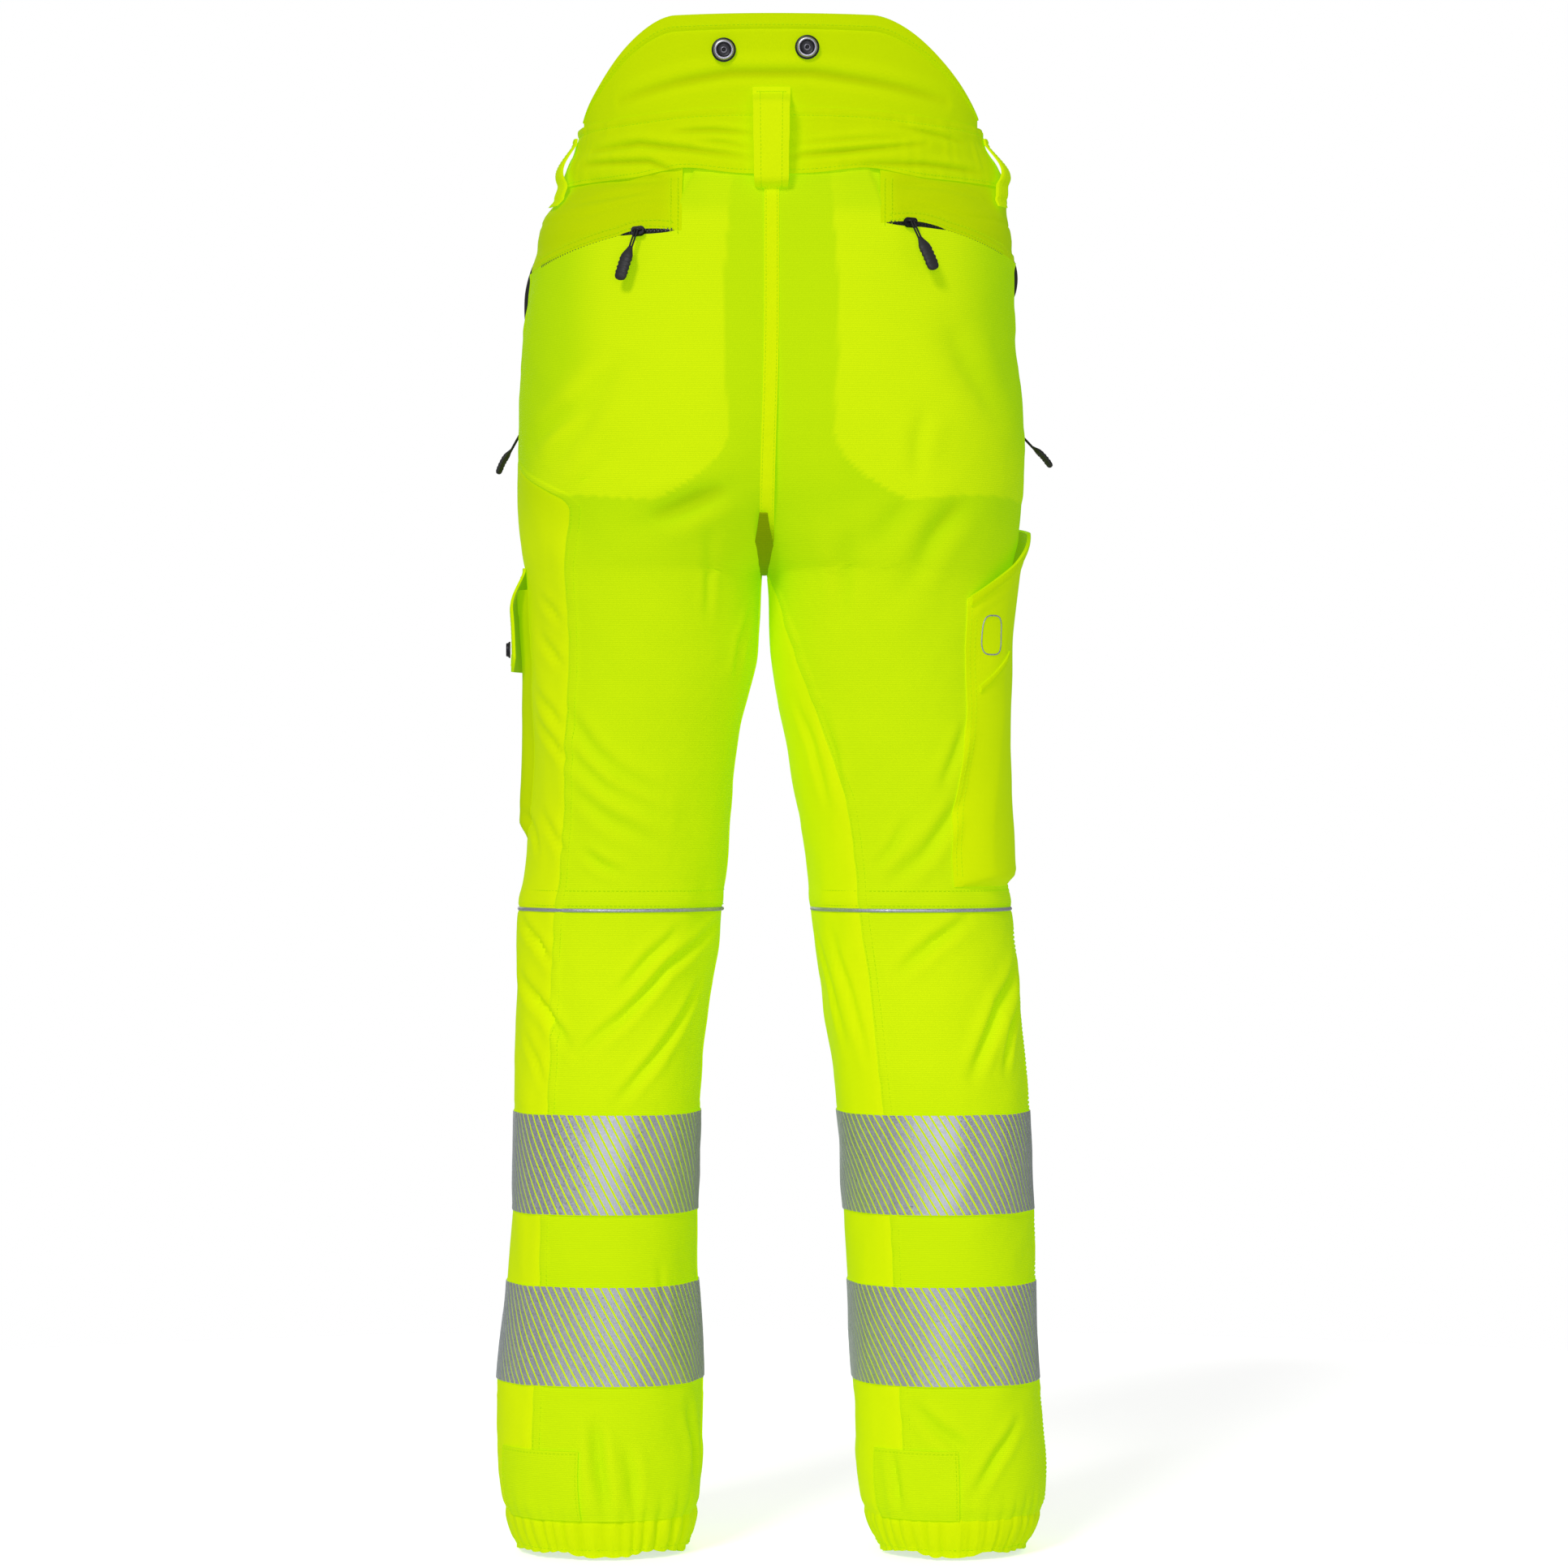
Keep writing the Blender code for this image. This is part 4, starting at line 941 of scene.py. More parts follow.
def front_knee_relief(z, angle):
    """Darts and seams that shape the front of the knee."""
    mid = np.exp(-(((angle - FRONT_MIDDLE) / 0.75) ** 4))
    total = 0.0 * z
    for seam_z in FRONT_SEAMS_Z:
        bow = front_seam(seam_z, angle)
        total = total - 0.0016 * np.exp(-(((z - bow) / 0.0022) ** 2)) * mid
        total = total + 0.0011 * np.exp(-(((z - bow + 0.006) / 0.004) ** 2)) * mid
    return total + 0.0030 * np.exp(-(((z - KNEE_Z) / 0.055) ** 2)) * mid


def quilt_relief(z, angle):
    """The protective pad pushes the front out between its few lines of stitching."""
    s = girth(angle - math.radians(90))
    inside = ease((-0.12 - z) / 0.03) * ease((z + 0.985) / 0.03)
    return inside * 0.0012 * np.abs(np.cos(s / 0.13 * math.pi)) ** 0.5


def build_front_panel(side):
    """The protective front in smooth stretch cloth, with its wrap round the leg."""
    label = NAMES[side]
    t, fraction = unit_grid(steps(1.0, 0.0036), steps(0.30, 0.0036))
    heights = mix(0.003, CUFF_SEAM_Z + 0.001, t) + 0 * fraction
    under = 0.0045 / LEG_RADIUS
    starts, ends = front_start(side, heights), front_end(side, heights)
    tuck_low = np.where(starts < 0.0, under, 0.0)
    angles = mix(starts - tuck_low, ends + under, fraction)
    below = ease((angles - ends + under) / (2 * under))
    below = below + ease((starts + under - angles) / (2 * under)) * (starts < 0)
    lifts = 0.0002 - 0.0013 * below + front_knee_relief(heights, angles) + quilt_relief(heights, angles)
    tone = 1.08 * ease((-0.22 - heights) / 0.06) * (np.sin(angles) < 0.15)
    if side == RIGHT:
        tone = tone + inner_leg_shade(angles, heights)
    made = surface_panel("front_panel_" + label, side, angles, heights, lifts, CLOTH, "smooth", tone)
    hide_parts("front_panel_" + label, "shin_front_" + label)
    bend_at_knee(made)
    sweep = np.radians(np.linspace(52, 138, 160))
    for seam_z in FRONT_SEAMS_Z:
        bow = front_seam(seam_z, sweep)
        lift = front_knee_relief(bow - 0.003, sweep) + quilt_relief(bow, sweep) + 0.0004
        sew(label, side, bow - 0.003, sweep, lift)
        sew(label, side, bow - 0.008, sweep, lift)


def build_yoke(side):
    """The smooth yoke between waistband and pocket slit, with its welt over the zip."""
    label, inner_end = NAMES[side], YOKE_INNER[side]
    t, fraction = unit_grid(steps(0.06, 0.0016), steps(0.14, 0.0022))
    probe = mix(math.pi - 0.01, back_angle(side, SLIT_PROBE_Z, inner_end), fraction)
    x = np.abs(skin(side, SLIT_PROBE_Z, probe)[..., 0])
    bottom = slit_height(side, x) + slit_gape(side, x) - 0.0004
    heights = mix(0.0075, bottom, t)
    angles = mix(math.pi + 0.0 * heights, back_angle(side, heights, inner_end - 0.0015), fraction)
    welt = 0.0010 * (1 - ease((heights - bottom - 0.0055) / 0.0015))
    seam_z = -0.0205 - 0.010 * ease((x - 0.10) / 0.05)
    seam = -0.0010 * np.exp(-(((heights - seam_z) / 0.0016) ** 2))
    swell = 0.0016 * noise(x / 0.035, heights / 0.010, 61) * ease((heights - bottom) / 0.012)
    at_inner_end = ease((fraction - 0.90) / 0.10)
    lifts = 0.0010 + welt + seam + swell - 0.0009 * ease((heights + 0.006) / 0.005)
    lifts = lifts * (1 - 0.75 * at_inner_end)
    # Painted shade: the yoke is darkened all over, less so at its inner end.
    tone = -0.18 + 0.14 * at_inner_end + 0.0 * heights
    made = surface_panel("back_yoke_" + label, side, angles, heights, lifts, 0.0012, "smooth", tone)
    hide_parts("back_yoke_" + label)
    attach(made, "trousers")
    xs = np.linspace(inner_end + 0.004, 0.172, 80)
    for rise in (0.0016, 0.0062):
        z = slit_height(side, xs) + slit_gape(side, xs) + rise
        sew(label, side, z, back_angle(side, z, xs), 0.0025)
    zs = np.linspace(-0.003, SLITS[side]["z"] - 0.004, 30)
    for shift in (0.0012, 0.0065):
        sew(label, side, zs, back_angle(side, zs, inner_end + shift), 0.0019)


def build_centre_strip():
    """The felled seam down the middle of the seat."""
    rows = steps(0.272, 0.002)
    z = np.linspace(-0.0004, -0.272, rows)[:, None]
    across = np.linspace(-1, 1, 9)[None, :]
    x = 0.0005 + 0.0038 * ease((-0.10 - z) / 0.18) + across * 0.0054
    heights = z + 0 * x
    y = []
    for side in (LEFT, RIGHT):
        reach = np.maximum(side * x, parting(side, z))
        y.append(cloth(side, heights, back_angle(side, heights, reach))[..., 1])
    y = np.maximum(*y)
    y = y.max(axis=1, keepdims=True) * 0.6 + y * 0.4
    crown = 0.0012 + 0.0005 * np.cos(across * 1.3) + 0.00025 * noise(z / 0.006, across, 71)
    outer = np.stack((x, y + crown, heights), axis=-1)
    inner = outer - np.array([0, 0.0012, 0])
    # Lighter along the strip, then painted shade darkens its lower end towards the crotch.
    tone = 0.8 - 1.5 * ease((-0.245 - heights) / 0.027)
    made = shell("centre_back_seam", outer, inner, "smooth", tone=tone)
    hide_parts("centre_back_seam")
    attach(made, "trousers")
    backwards = np.tile([0, 1.0, 0], (rows, 1))
    for k in (1, 7):
        THREAD.stitches("left", outer[:, k] + np.array([0, 0.0001, 0]), backwards, 0.003)


def build_crotch_gusset():
    """A diamond of ripstop let in under the crotch."""
    rows, cols = 41, 15
    turn = np.linspace(-1, 1, rows)[:, None]
    across = np.linspace(-1, 1, cols)[None, :]
    depth = np.where(turn < 0, 0.112, 0.116)
    y = turn * depth * 0.985
    z = -0.2885 + 0.036 * np.abs(turn) ** 3.2 + 0 * across
    half = 0.0030 + 0.011 * (1 - np.abs(turn) ** 1.6)
    x = 0.0065 + across * half
    z = z - 0.004 * (1 - across**2) * (1 - np.abs(turn)) + 0.0012 * noise(x / 0.006, y / 0.02, 81)
    outer = np.stack(np.broadcast_arrays(x, y, z), axis=-1)
    drawn_in = np.stack(np.broadcast_arrays(0 * x, turn * 0.0008, 0 * z), axis=-1)
    inner = outer + np.array([0, 0, 0.0012]) - drawn_in
    # The whole gusset is painted dark: painted shade under the crotch.
    made = shell("crotch_gusset", outer, inner, "ripstop", tone=np.full(outer.shape[:2], -1.0))
    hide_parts("crotch_gusset")
    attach(made, "trousers")


QUILT_PITCH = 0.045


def build_inserts(side):
    """Quilted saw-stopping pads behind the front, one above the knee and one below."""
    label = NAMES[side]
    spans = {"thigh": (-0.145, -0.458, "trousers"), "shin": (-0.634, -0.985, "lower_leg_" + label)}
    for place, (top, bottom, body) in spans.items():
        cols, rows = steps(0.26, 0.006), steps(top - bottom, 0.006)
        heights = np.linspace(top, bottom, rows)[:, None] + np.zeros((1, cols))
        starts, ends = front_start(side, heights) + 0.13, front_end(side, heights) - 0.09
        angles = mix(starts, ends, np.linspace(0, 1, cols)[None, :])
        s = girth(angles)
        rising = np.sin((s + heights) / QUILT_PITCH * math.pi)
        falling = np.sin((s - heights) / QUILT_PITCH * math.pi)
        quilt = 0.0012 * np.abs(rising * falling) ** 0.5
        from_side = np.minimum(angles - starts, ends - angles) * LEG_RADIUS
        edge = ease(np.minimum(from_side, np.minimum(top - heights, heights - bottom)) / 0.006)
        outer = skin(side, heights, angles, -0.0075 + quilt * edge - 0.0022 * (1 - edge))
        inner = skin(side, heights, angles, -0.0130 - quilt * edge + 0.0022 * (1 - edge))
        made = shell(f"cut_insert_{place}_{label}", outer, inner, "padding")
        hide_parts(f"cut_insert_{place}_{label}")
        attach(made, body)


# ---------------------------------------------------------------- waist
FRONT_TOP_Z = 0.042
GUARD_TOP_Z = 0.1165
BACK_LIFT, FRONT_LIFT = 0.0015, 0.0010


def band_place(z, azimuth, lift):
    """Points round the whole waist. Azimuth 0 is the back, 90 the left side."""
    azimuth = np.asarray(azimuth, float)
    angle = 1.5 * math.pi - np.abs(azimuth)
    left, right = skin(LEFT, z, angle, lift), skin(RIGHT, z, angle, lift)
    return np.where((azimuth >= 0)[..., None], left, right)


def waist_flare(z, azimuth):
    angle = 1.5 * math.pi - np.abs(azimuth)
    return np.where(azimuth >= 0, hip_flare(LEFT, z, angle), hip_flare(RIGHT, z, angle))


def guard_top(azimuth):
    """The kidney guard's bound edge: level over the spine, then falling in a long curve to the sides."""
    x = np.abs(band_place(0.06 + 0 * azimuth, azimuth, 0.0)[..., 0])
    left = np.asarray(azimuth) >= 0
    flat, reach = np.where(left, 0.072, 0.074), np.where(left, 0.0712, 0.0830)
    t = np.clip((x - flat) / reach, 0, 0.999)
    return mix(0.043, GUARD_TOP_Z, (1 - t**1.7) ** 0.85)


def guard_low(azimuth):
    return band_top(azimuth) - 0.002


def band_top(azimuth):
    """The waistband's upper edge: it rides up a little over the small of the back."""
    return FRONT_TOP_Z + 0.006 * np.exp(-((azimuth / 0.7) ** 2))


def front_top(azimuth):
    return FRONT_TOP_Z + 0 * azimuth


def waist_shell(name, azimuths, low, high, lift, thickness, relief_at):
    """A band of cloth round the waist between two edges, with its own relief."""
    t = np.linspace(0, 1, steps(0.05, 0.0010))[:, None]
    azimuth = azimuths[None, :] + 0 * t
    z = mix(high(azimuth), low(azimuth), t)
    s = WAIST_RADIUS * azimuth
    bumps = relief_at(s, z, t)
    flare = waist_flare(z, azimuth)
    outer = band_place(z, azimuth, lift + bumps + flare)
    inner = band_place(z, azimuth, lift + bumps * 0.7 + flare - thickness)
    uv = np.stack((s, z), axis=-1)
    # Painted shade in the wrinkles' valleys and painted highlight on their ridges, a little darker overall.
    tone = np.clip(waist_folds(s, z) * 110, -0.34, 0.18) - 0.04
    made = shell(name, outer, inner, "smooth", "lining", uv=uv, tone=tone)
    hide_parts(name)
    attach(made, "trousers")


def elastic_wrinkles(s, z, t):
    """The rumpled back of the waistband, pinched where it is stitched."""
    fine = 0.0004 * noise(s / 0.006, z / 0.02, 94) + 0.0007 * noise(s / 0.05, z / 0.006, 92)
    puff = 0.0007 * np.sin(math.pi * np.clip(t, 0, 1)) ** 0.6
    stitched = -0.0008 * np.exp(-(((t - 0.12) / 0.03) ** 2))
    return waist_folds(s, z) + fine + puff + stitched


def front_wrinkles(s, z, t):
    """The flatter front of the waistband."""
    puff = 0.0012 * np.sin(math.pi * np.clip(t, 0, 1)) ** 0.5
    return puff + 0.0004 * noise(s / 0.02, z / 0.012, 95) - 0.0006 * np.exp(-(((t - 0.1) / 0.03) ** 2))


def guard_relief(s, z, t):
    """The guard's bound edge, the groove under it and its wrinkles."""
    binding = 0.0009 * (1 - ease((t - 0.13) / 0.02))
    groove = -0.0008 * np.exp(-(((t - 0.16) / 0.012) ** 2))
    return binding + groove + waist_folds(s, z) + 0.0005 * noise(s / 0.03, z / 0.03, 96)


def band_low(azimuth):
    """The waistband's lower seam, a little higher either side of the centre loop."""
    rise = np.exp(-(((np.abs(azimuth) - 0.42) / 0.2) ** 2))
    return -0.0022 + 0.0058 * rise


def build_waist():
    back = np.radians(np.linspace(-89.2, 89.2, steps(0.42, 0.0024)))
    waist_shell("waistband_back", back, band_low, band_top, BACK_LIFT, 0.0024, elastic_wrinkles)
    for side in (LEFT, RIGHT):
        front = side * np.radians(np.linspace(88.2, 179.7, steps(0.17, 0.003)))
        name = "waistband_front_" + NAMES[side]
        waist_shell(name, front, band_low, front_top, FRONT_LIFT, 0.0022, front_wrinkles)
    guard = np.radians(np.linspace(-77, 76, steps(0.38, 0.0026)))
    waist_shell("kidney_guard", guard, guard_low, guard_top, 0.0, 0.0030, guard_relief)
    sew_waist(np.linspace(back[0], back[-1], 700), np.linspace(guard[0] * 0.97, guard[-1] * 0.97, 600))


def sew_round(azimuths, z, lift):
    lift = lift + waist_flare(z, azimuths)
    line = band_place(z, azimuths, lift)
    THREAD.stitches("left", line, band_place(z, azimuths, lift + 0.01) - line)


def sew_waist(back, guard):
    for t in (0.12, 0.94):
        z = mix(band_top(back), band_low(back), t)
        sew_round(back, z, BACK_LIFT + elastic_wrinkles(WAIST_RADIUS * back, z, t) + 0.0002)
    t = 0.115
    z = mix(guard_top(guard), guard_low(guard), t)
    sew_round(guard, z, guard_relief(WAIST_RADIUS * guard, z, t) + 0.0002)
    for side in (LEFT, RIGHT):
        sweep = side * np.radians(np.linspace(90, 178, 300))
        for t in (0.1, 0.9):
            z = mix(FRONT_TOP_Z, -0.0006, t)
            sew_round(sweep, z + 0 * sweep, 0.0006 + front_wrinkles(WAIST_RADIUS * sweep, z, t) + 0.0002)


# ---------------------------------------------------------------- bands, piping and cuffs
def arc_angles(side, z, fractions):
    """Angles that divide one section's outline evenly by length."""
    sweep = np.linspace(0, 2 * math.pi, 1441)
    run = distances(skin(side, z, sweep))
    turns = np.floor(fractions)
    return np.interp(fractions - turns, run / run[-1], sweep) + turns * (2 * math.pi)


BAND_LIFT = 0.0019
FILM_COUNT = 78
FILM_SLANT = 0.040
FILM_GAP = 0.0016


def band_lift(side, z, angle):
    """The band dips where it crosses the seams below it."""
    dip = 0
    for seam in (front_end(side, z), back_end(side, z)):
        from_seam = (np.mod(angle - seam + 3.0, 2 * math.pi) - 3.0) * LEG_RADIUS
        dip = dip + np.exp(-(from_seam / 0.0040) ** 2)
    return BAND_LIFT - 0.0005 * dip


def band_waver(angle):
    """The band isn't sewn on quite level."""
    return 0.0006 * noise(girth(angle) / 0.03, angle * 0, 101)


def build_band(side, place):
    label, top = NAMES[side], BAND_TOPS[place]
    base_name = f"reflective_band_{place}_{label}"
    cols = steps(0.5, 0.0022)
    sweep = np.linspace(0, 2 * math.pi, cols, endpoint=False)[None, :]
    heights = np.linspace(top, top - BAND_HEIGHT, steps(BAND_HEIGHT, 0.003))[:, None] + 0 * sweep
    heights = heights + band_waver(sweep)
    angles = sweep + 0 * heights
    lifts = band_lift(side, heights, angles)
    outer, inner = layers(cloth, side, heights, angles, lifts, 0.0009)
    base = shell(base_name + "_base", outer, inner, "smooth", ring=True, tone=0.5 + 0.0 * lifts)
    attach(base, "lower_leg_" + label)
    film = build_film(side, top, base_name)
    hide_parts(base_name)
    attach(film, "lower_leg_" + label)


def build_film(side, top, name):
    """Slanting segments of reflective film with narrow gaps of cloth between them."""
    rows, cols = steps(BAND_HEIGHT, 0.004), 5
    t = np.linspace(0, 1, rows)
    z = top - 0.0006 - t * (BAND_HEIGHT - 0.0012)
    middle = top - BAND_HEIGHT / 2
    run = np.linalg.norm(np.diff(skin(side, middle, np.linspace(0, 2 * math.pi, 721)), axis=0), axis=1).sum()
    slant = side * FILM_SLANT / run
    gap = FILM_GAP / run
    points, faces = [], []
    for n in range(FILM_COUNT):
        low = n / FILM_COUNT + gap / 2
        high = (n + 1) / FILM_COUNT - gap / 2
        across = np.linspace(low, high, cols)
        fractions = across[None, :] + slant * (t[:, None] - 0.5)
        angles = arc_angles(side, middle, fractions)
        heights = z[:, None] + 0 * angles + band_waver(angles)
        lifts = band_lift(side, heights, np.mod(angles, 2 * math.pi))
        base = n * rows * cols * 2
        points.append(cloth(side, heights, angles, lifts + 0.00045).reshape(-1, 3))
        points.append(cloth(side, heights, angles, lifts + 0.00005).reshape(-1, 3))
        faces.append(np.concatenate(sheet_faces(rows, cols, side == RIGHT)) + base)
    return make_object(name, np.concatenate(points), np.concatenate(faces).tolist(), ["film"])


def tube(name, line, radius, finish, outs, sides=8, squash=1.0):
    """A round cord along a line, closed at both ends, or one flattened along the directions outs."""
    line = np.asarray(line, float)
    along = np.gradient(line, axis=0)
    along /= np.linalg.norm(along, axis=1, keepdims=True)
    sideways = np.cross(np.asarray(outs, float), along)
    sideways /= np.linalg.norm(sideways, axis=1, keepdims=True)
    outs = np.cross(along, sideways)
    radius = np.broadcast_to(radius, (len(line),))
    turn = np.linspace(0, 2 * math.pi, sides, endpoint=False)[None, :, None]
    rings = np.cos(turn) * sideways[:, None] + squash * np.sin(turn) * outs[:, None]
    rings = line[:, None] + radius[:, None, None] * rings
    points = np.concatenate((rings.reshape(-1, 3), line[:1], line[-1:]))
    faces = grid_faces(len(line), sides, 0, ring=True).tolist()
    last, start, end = (len(line) - 1) * sides, len(points) - 2, len(points) - 1
    for k in range(sides):
        faces.append([start, (k + 1) % sides, k])
        faces.append([end, last + k, last + (k + 1) % sides])
    return make_object(name, points, faces, [finish])


def build_piping(side):
    angles = np.radians(np.linspace(183, 357, 220))
    line = cloth(side, KNEE_Z, angles, 0.0016)
    outs = cloth_normal(side, KNEE_Z + 0 * angles, angles)
    made = tube("knee_piping_" + NAMES[side], line, 0.00145, "film", outs)
    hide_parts("knee_piping_" + NAMES[side])
    bend_at_knee(made)
    for rise in (0.0035, 0.0145):
        sew(NAMES[side], side, KNEE_Z + rise + 0 * angles, angles, 0.0008)


def build_cuff(side):
    """The elastic hem, gathered into irregular pleats."""
    label = NAMES[side]
    cols, rows = steps(0.46, 0.0013), 12
    sweep = np.linspace(0, 2 * math.pi, cols, endpoint=False)[None, :]
    t = np.linspace(0, 1, rows)[:, None]
    fall = 0.0022 * noise(girth(sweep) / 0.028, sweep * 0, 111)
    fall = fall - 0.0018 * hem_pleats(side, sweep)
    heights = mix(CUFF_SEAM_Z + 0.0028, HEM_Z + fall, t)
    angles = sweep + 0 * t
    uneven = 1 + 0.2 * noise(girth(sweep) / 0.05, sweep * 0, 112)
    depth = 0.0030 * (0.75 + 0.35 * np.sin(math.pi * t)) * uneven
    fold = depth * hem_pleats(side, angles)
    fine = 0.0006 * noise(girth(angles) / 0.0032, heights / 0.02, 113)
    tuck = -0.0010 * np.exp(-((t / 0.10) ** 2)) - 0.0008 * np.exp(-(((t - 0.86) / 0.07) ** 2))
    outer, inner = layers(skin, side, heights, angles, -0.0008 + fold + fine + tuck, 0.0026)
    uv = cloth_uv(1, angles, heights)
    # Painted highlight on the pleats' ridges and painted shade in their folds, over a lighter base.
    tone = 0.45 + 0.7 * hem_pleats(side, angles)
    made = shell("cuff_" + label, outer, inner, "smooth", "lining", ring=True, uv=uv, tone=tone)
    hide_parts("cuff_" + label)
    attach(made, "lower_leg_" + label)
    turn = np.linspace(0, 2 * math.pi, 420)
    z = mix(CUFF_SEAM_Z + 0.0028, HEM_Z, 0.86)
    lift = -0.0012 + 0.0026 * hem_pleats(side, turn)
    sew(label, side, z + 0 * turn, turn, lift, plain=True)


HEM_PATCHES = {LEFT: (math.radians(205), math.radians(262)), RIGHT: (math.radians(268), math.radians(322))}


def build_hem_patch(side):
    """A second layer of ripstop on the inside of the ankle against the other boot."""
    label = NAMES[side]
    low, high = HEM_PATCHES[side]
    t, fraction = unit_grid(steps(0.05, 0.003), steps(girth(high) - girth(low), 0.003))
    angles = mix(low, high, fraction) + 0 * t
    heights = mix(-0.9475, -0.9995, t) + 0 * angles
    outer, inner = layers(cloth, side, heights, angles, 0.0021, 0.0009)
    uv = cloth_uv(side, angles, heights)
    made = shell("ankle_patch_" + label, outer, inner, "ripstop", uv=uv, tone=leg_tone(heights))
    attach(made, "lower_leg_" + label)
    sew(label, side, -0.9495 + 0 * angles[0], angles[0], 0.0023)
    for a in (low + 0.022, high - 0.022):
        sew(label, side, heights[:, 0], a + 0 * heights[:, 0], 0.0023)


# ---------------------------------------------------------------- thigh pockets
def rounded_rise(t):
    """From 0 to 1, swelling out of the leg like the edge of a filled pocket."""
    t = np.clip(t, 0, 1)
    return t * (2 - t) * (0.35 + 0.65 * t)


class Pouch:
    """A patch pocket: its edges are angles on one half, and its mouth and floor are heights."""

    def __init__(self, side, front, rear, top, bottom, depth, rises, seed):
        self.side = side
        self.front, self.rear = front, rear
        self.top, self.bottom = top, bottom
        self.depth, self.rises = depth, rises
        self.seed = seed

    def angle(self, fraction, z):
        return mix(self.front, self.rear(z), fraction)

    def lift(self, angles, z, from_top, from_floor):
        """How far its cloth stands off the plain section."""
        from_front = (angles - self.front) * THIGH_RADIUS
        from_rear = (self.rear(z) - angles) * THIGH_RADIUS
        nearest = np.minimum(from_front / self.rises[0], from_rear / self.rises[1])
        swell = rounded_rise(np.minimum(nearest, from_floor / self.rises[0]))
        inside = ease(np.minimum(np.minimum(from_front, from_rear), from_floor) / 0.012)
        hem = 0.0007 * (1 - ease((from_top - 0.017) / 0.002))
        wrinkles = 0.0010 * noise(girth(angles) / 0.028 + z / 0.05, z / 0.045, self.seed)
        follow = 1 - 0.65 * inside
        under = relief(self.side, z, np.mod(angles, 2 * math.pi)) * follow
        return mix(0.0016, self.depth, swell) + (hem + wrinkles) * inside + under

    def build(self, name, tone):
        t, fraction = unit_grid(steps(0.22, 0.0026), steps(0.14, 0.0024))
        top, bottom = self.top(fraction), self.bottom(fraction)
        heights = mix(top, bottom, t)
        angles = self.angle(fraction, heights)
        lifts = self.lift(angles, heights, top - heights, heights - bottom)
        outer, inner = layers(skin, self.side, heights, angles, lifts, 0.0013)
        uv = cloth_uv(self.side, angles, heights)
        made = shell(name, outer, inner, "smooth", "lining", uv=uv, tone=tone + 0.0 * heights)
        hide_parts(name)
        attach(made, "trousers")


def level(z):
    """A mouth or floor that runs level."""
    return lambda fraction: z + 0 * fraction


CARGO = Pouch(
    LEFT, math.radians(112), lambda z: math.radians(190) + 0 * z, level(-0.305), level(-0.492),
    0.0084, (0.012, 0.016), 121,
)


def build_cargo_flap():
    rows, cols = steps(0.078, 0.0024), steps(0.14, 0.0024)
    t, fraction = unit_grid(rows, cols)
    corner = 0.010 * np.clip((np.abs(fraction - 0.5) - 0.40) / 0.10, 0, 1) ** 2
    heights = mix(-0.289, -0.3665 + corner, t)
    angles = mix(math.radians(110), math.radians(191), fraction) + 0 * t
    rise = ease(t / 0.45) ** 0.7
    wave = 0.0011 * np.sin(fraction * 15 + 1.0) * t + 0.0007 * noise(fraction * 5, t * 3, 131)
    hem = 0.0005 * ((t > 0.86) | (np.abs(fraction - 0.5) > 0.46))
    lifts = mix(0.0022, 0.0141, rise) + wave * rise + hem * rise
    outer, inner = layers(skin, LEFT, heights, angles, lifts, 0.0020)
    uv = cloth_uv(LEFT, angles, heights)
    flap = shell("cargo_flap", outer, inner, "smooth", "lining", uv=uv, tone=0.1 + 0.0 * heights)
    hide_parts("cargo_flap")
    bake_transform(flap)
    for row in (3, rows - 3):
        out = outer[row] - inner[row]
        THREAD.stitches("flap", outer[row] + out * 0.03, out)
    for col in (3, cols - 4):
        out = outer[4:, col] - inner[4:, col]
        THREAD.stitches("flap", outer[4:, col] + out * 0.03, out)
    made = THREAD.build("flap", "stitching_flap")
    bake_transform(made)


def tool_rear(z):
    """The rear edge swings back towards the inner leg below the second slit."""
    return np.radians(231 + 15 * ease((-0.385 - z) / 0.125))


def tool_top(fraction):
    """The slanting mouth: high at the front, lowest at the rear edge."""
    return np.interp(fraction, (0.0, 0.34, 0.73, 1.0), (-0.2555, -0.2620, -0.2925, -0.3140))


def tool_bottom(fraction):
    return mix(-0.512, -0.528, ease(fraction / 0.5))


TOOL = Pouch(RIGHT, math.radians(152), tool_rear, tool_top, tool_bottom, 0.0095, (0.0075, 0.040), 141)


def tool_lift(angles, heights):
    """How far the pocket's cloth stands off well away from its mouth and floor."""
    return TOOL.lift(angles, heights, 0.1, 0.1)


def build_tool_pocket():
    TOOL.build("tool_pocket", 0.6)
    mouth = [(f, float(tool_top(f)) - 0.0028) for f in (0.03, 0.34, 0.55, 0.73, 0.86, 0.985)]
    strips = {
        "tool_pocket_strap": (mouth, 0.0036, 0.0020),
        "tool_pocket_slit": (((0.91, -0.381), (0.80, -0.371), (0.635, -0.354)), 0.0024, 0.0014),
    }
    for name, (stations, half, thickness) in strips.items():
        made = shell(name, *ribbon_on_pocket(stations, half, thickness), "smooth")
        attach(made, "trousers")
    edge = np.linspace(-0.318, -0.522, 160)
    for inset in (0.0035, 0.0080):
        angles = tool_rear(edge) - inset / THIGH_RADIUS
        sew("right", RIGHT, edge, angles, tool_lift(angles, edge) + 0.0002, plain=True)
    build_mark()


def ribbon_on_pocket(stations, half, thickness):
    """A flat strip lying on the tool pocket along (fraction across, height) stations."""
    at = np.linspace(0, 1, 60)
    t = np.linspace(0, 1, len(stations))
    across = np.interp(at, t, [station[0] for station in stations])[:, None]
    middle = np.interp(at, t, [station[1] for station in stations])[:, None]
    sideways = np.linspace(-1, 1, 5)[None, :]
    heights = middle + sideways * half
    angles = TOOL.angle(across, heights)
    lifts = tool_lift(angles, heights) + 0.0005 * (1 - sideways**2)
    return skin(RIGHT, heights, angles, lifts + thickness), skin(RIGHT, heights, angles, lifts - 0.0004)


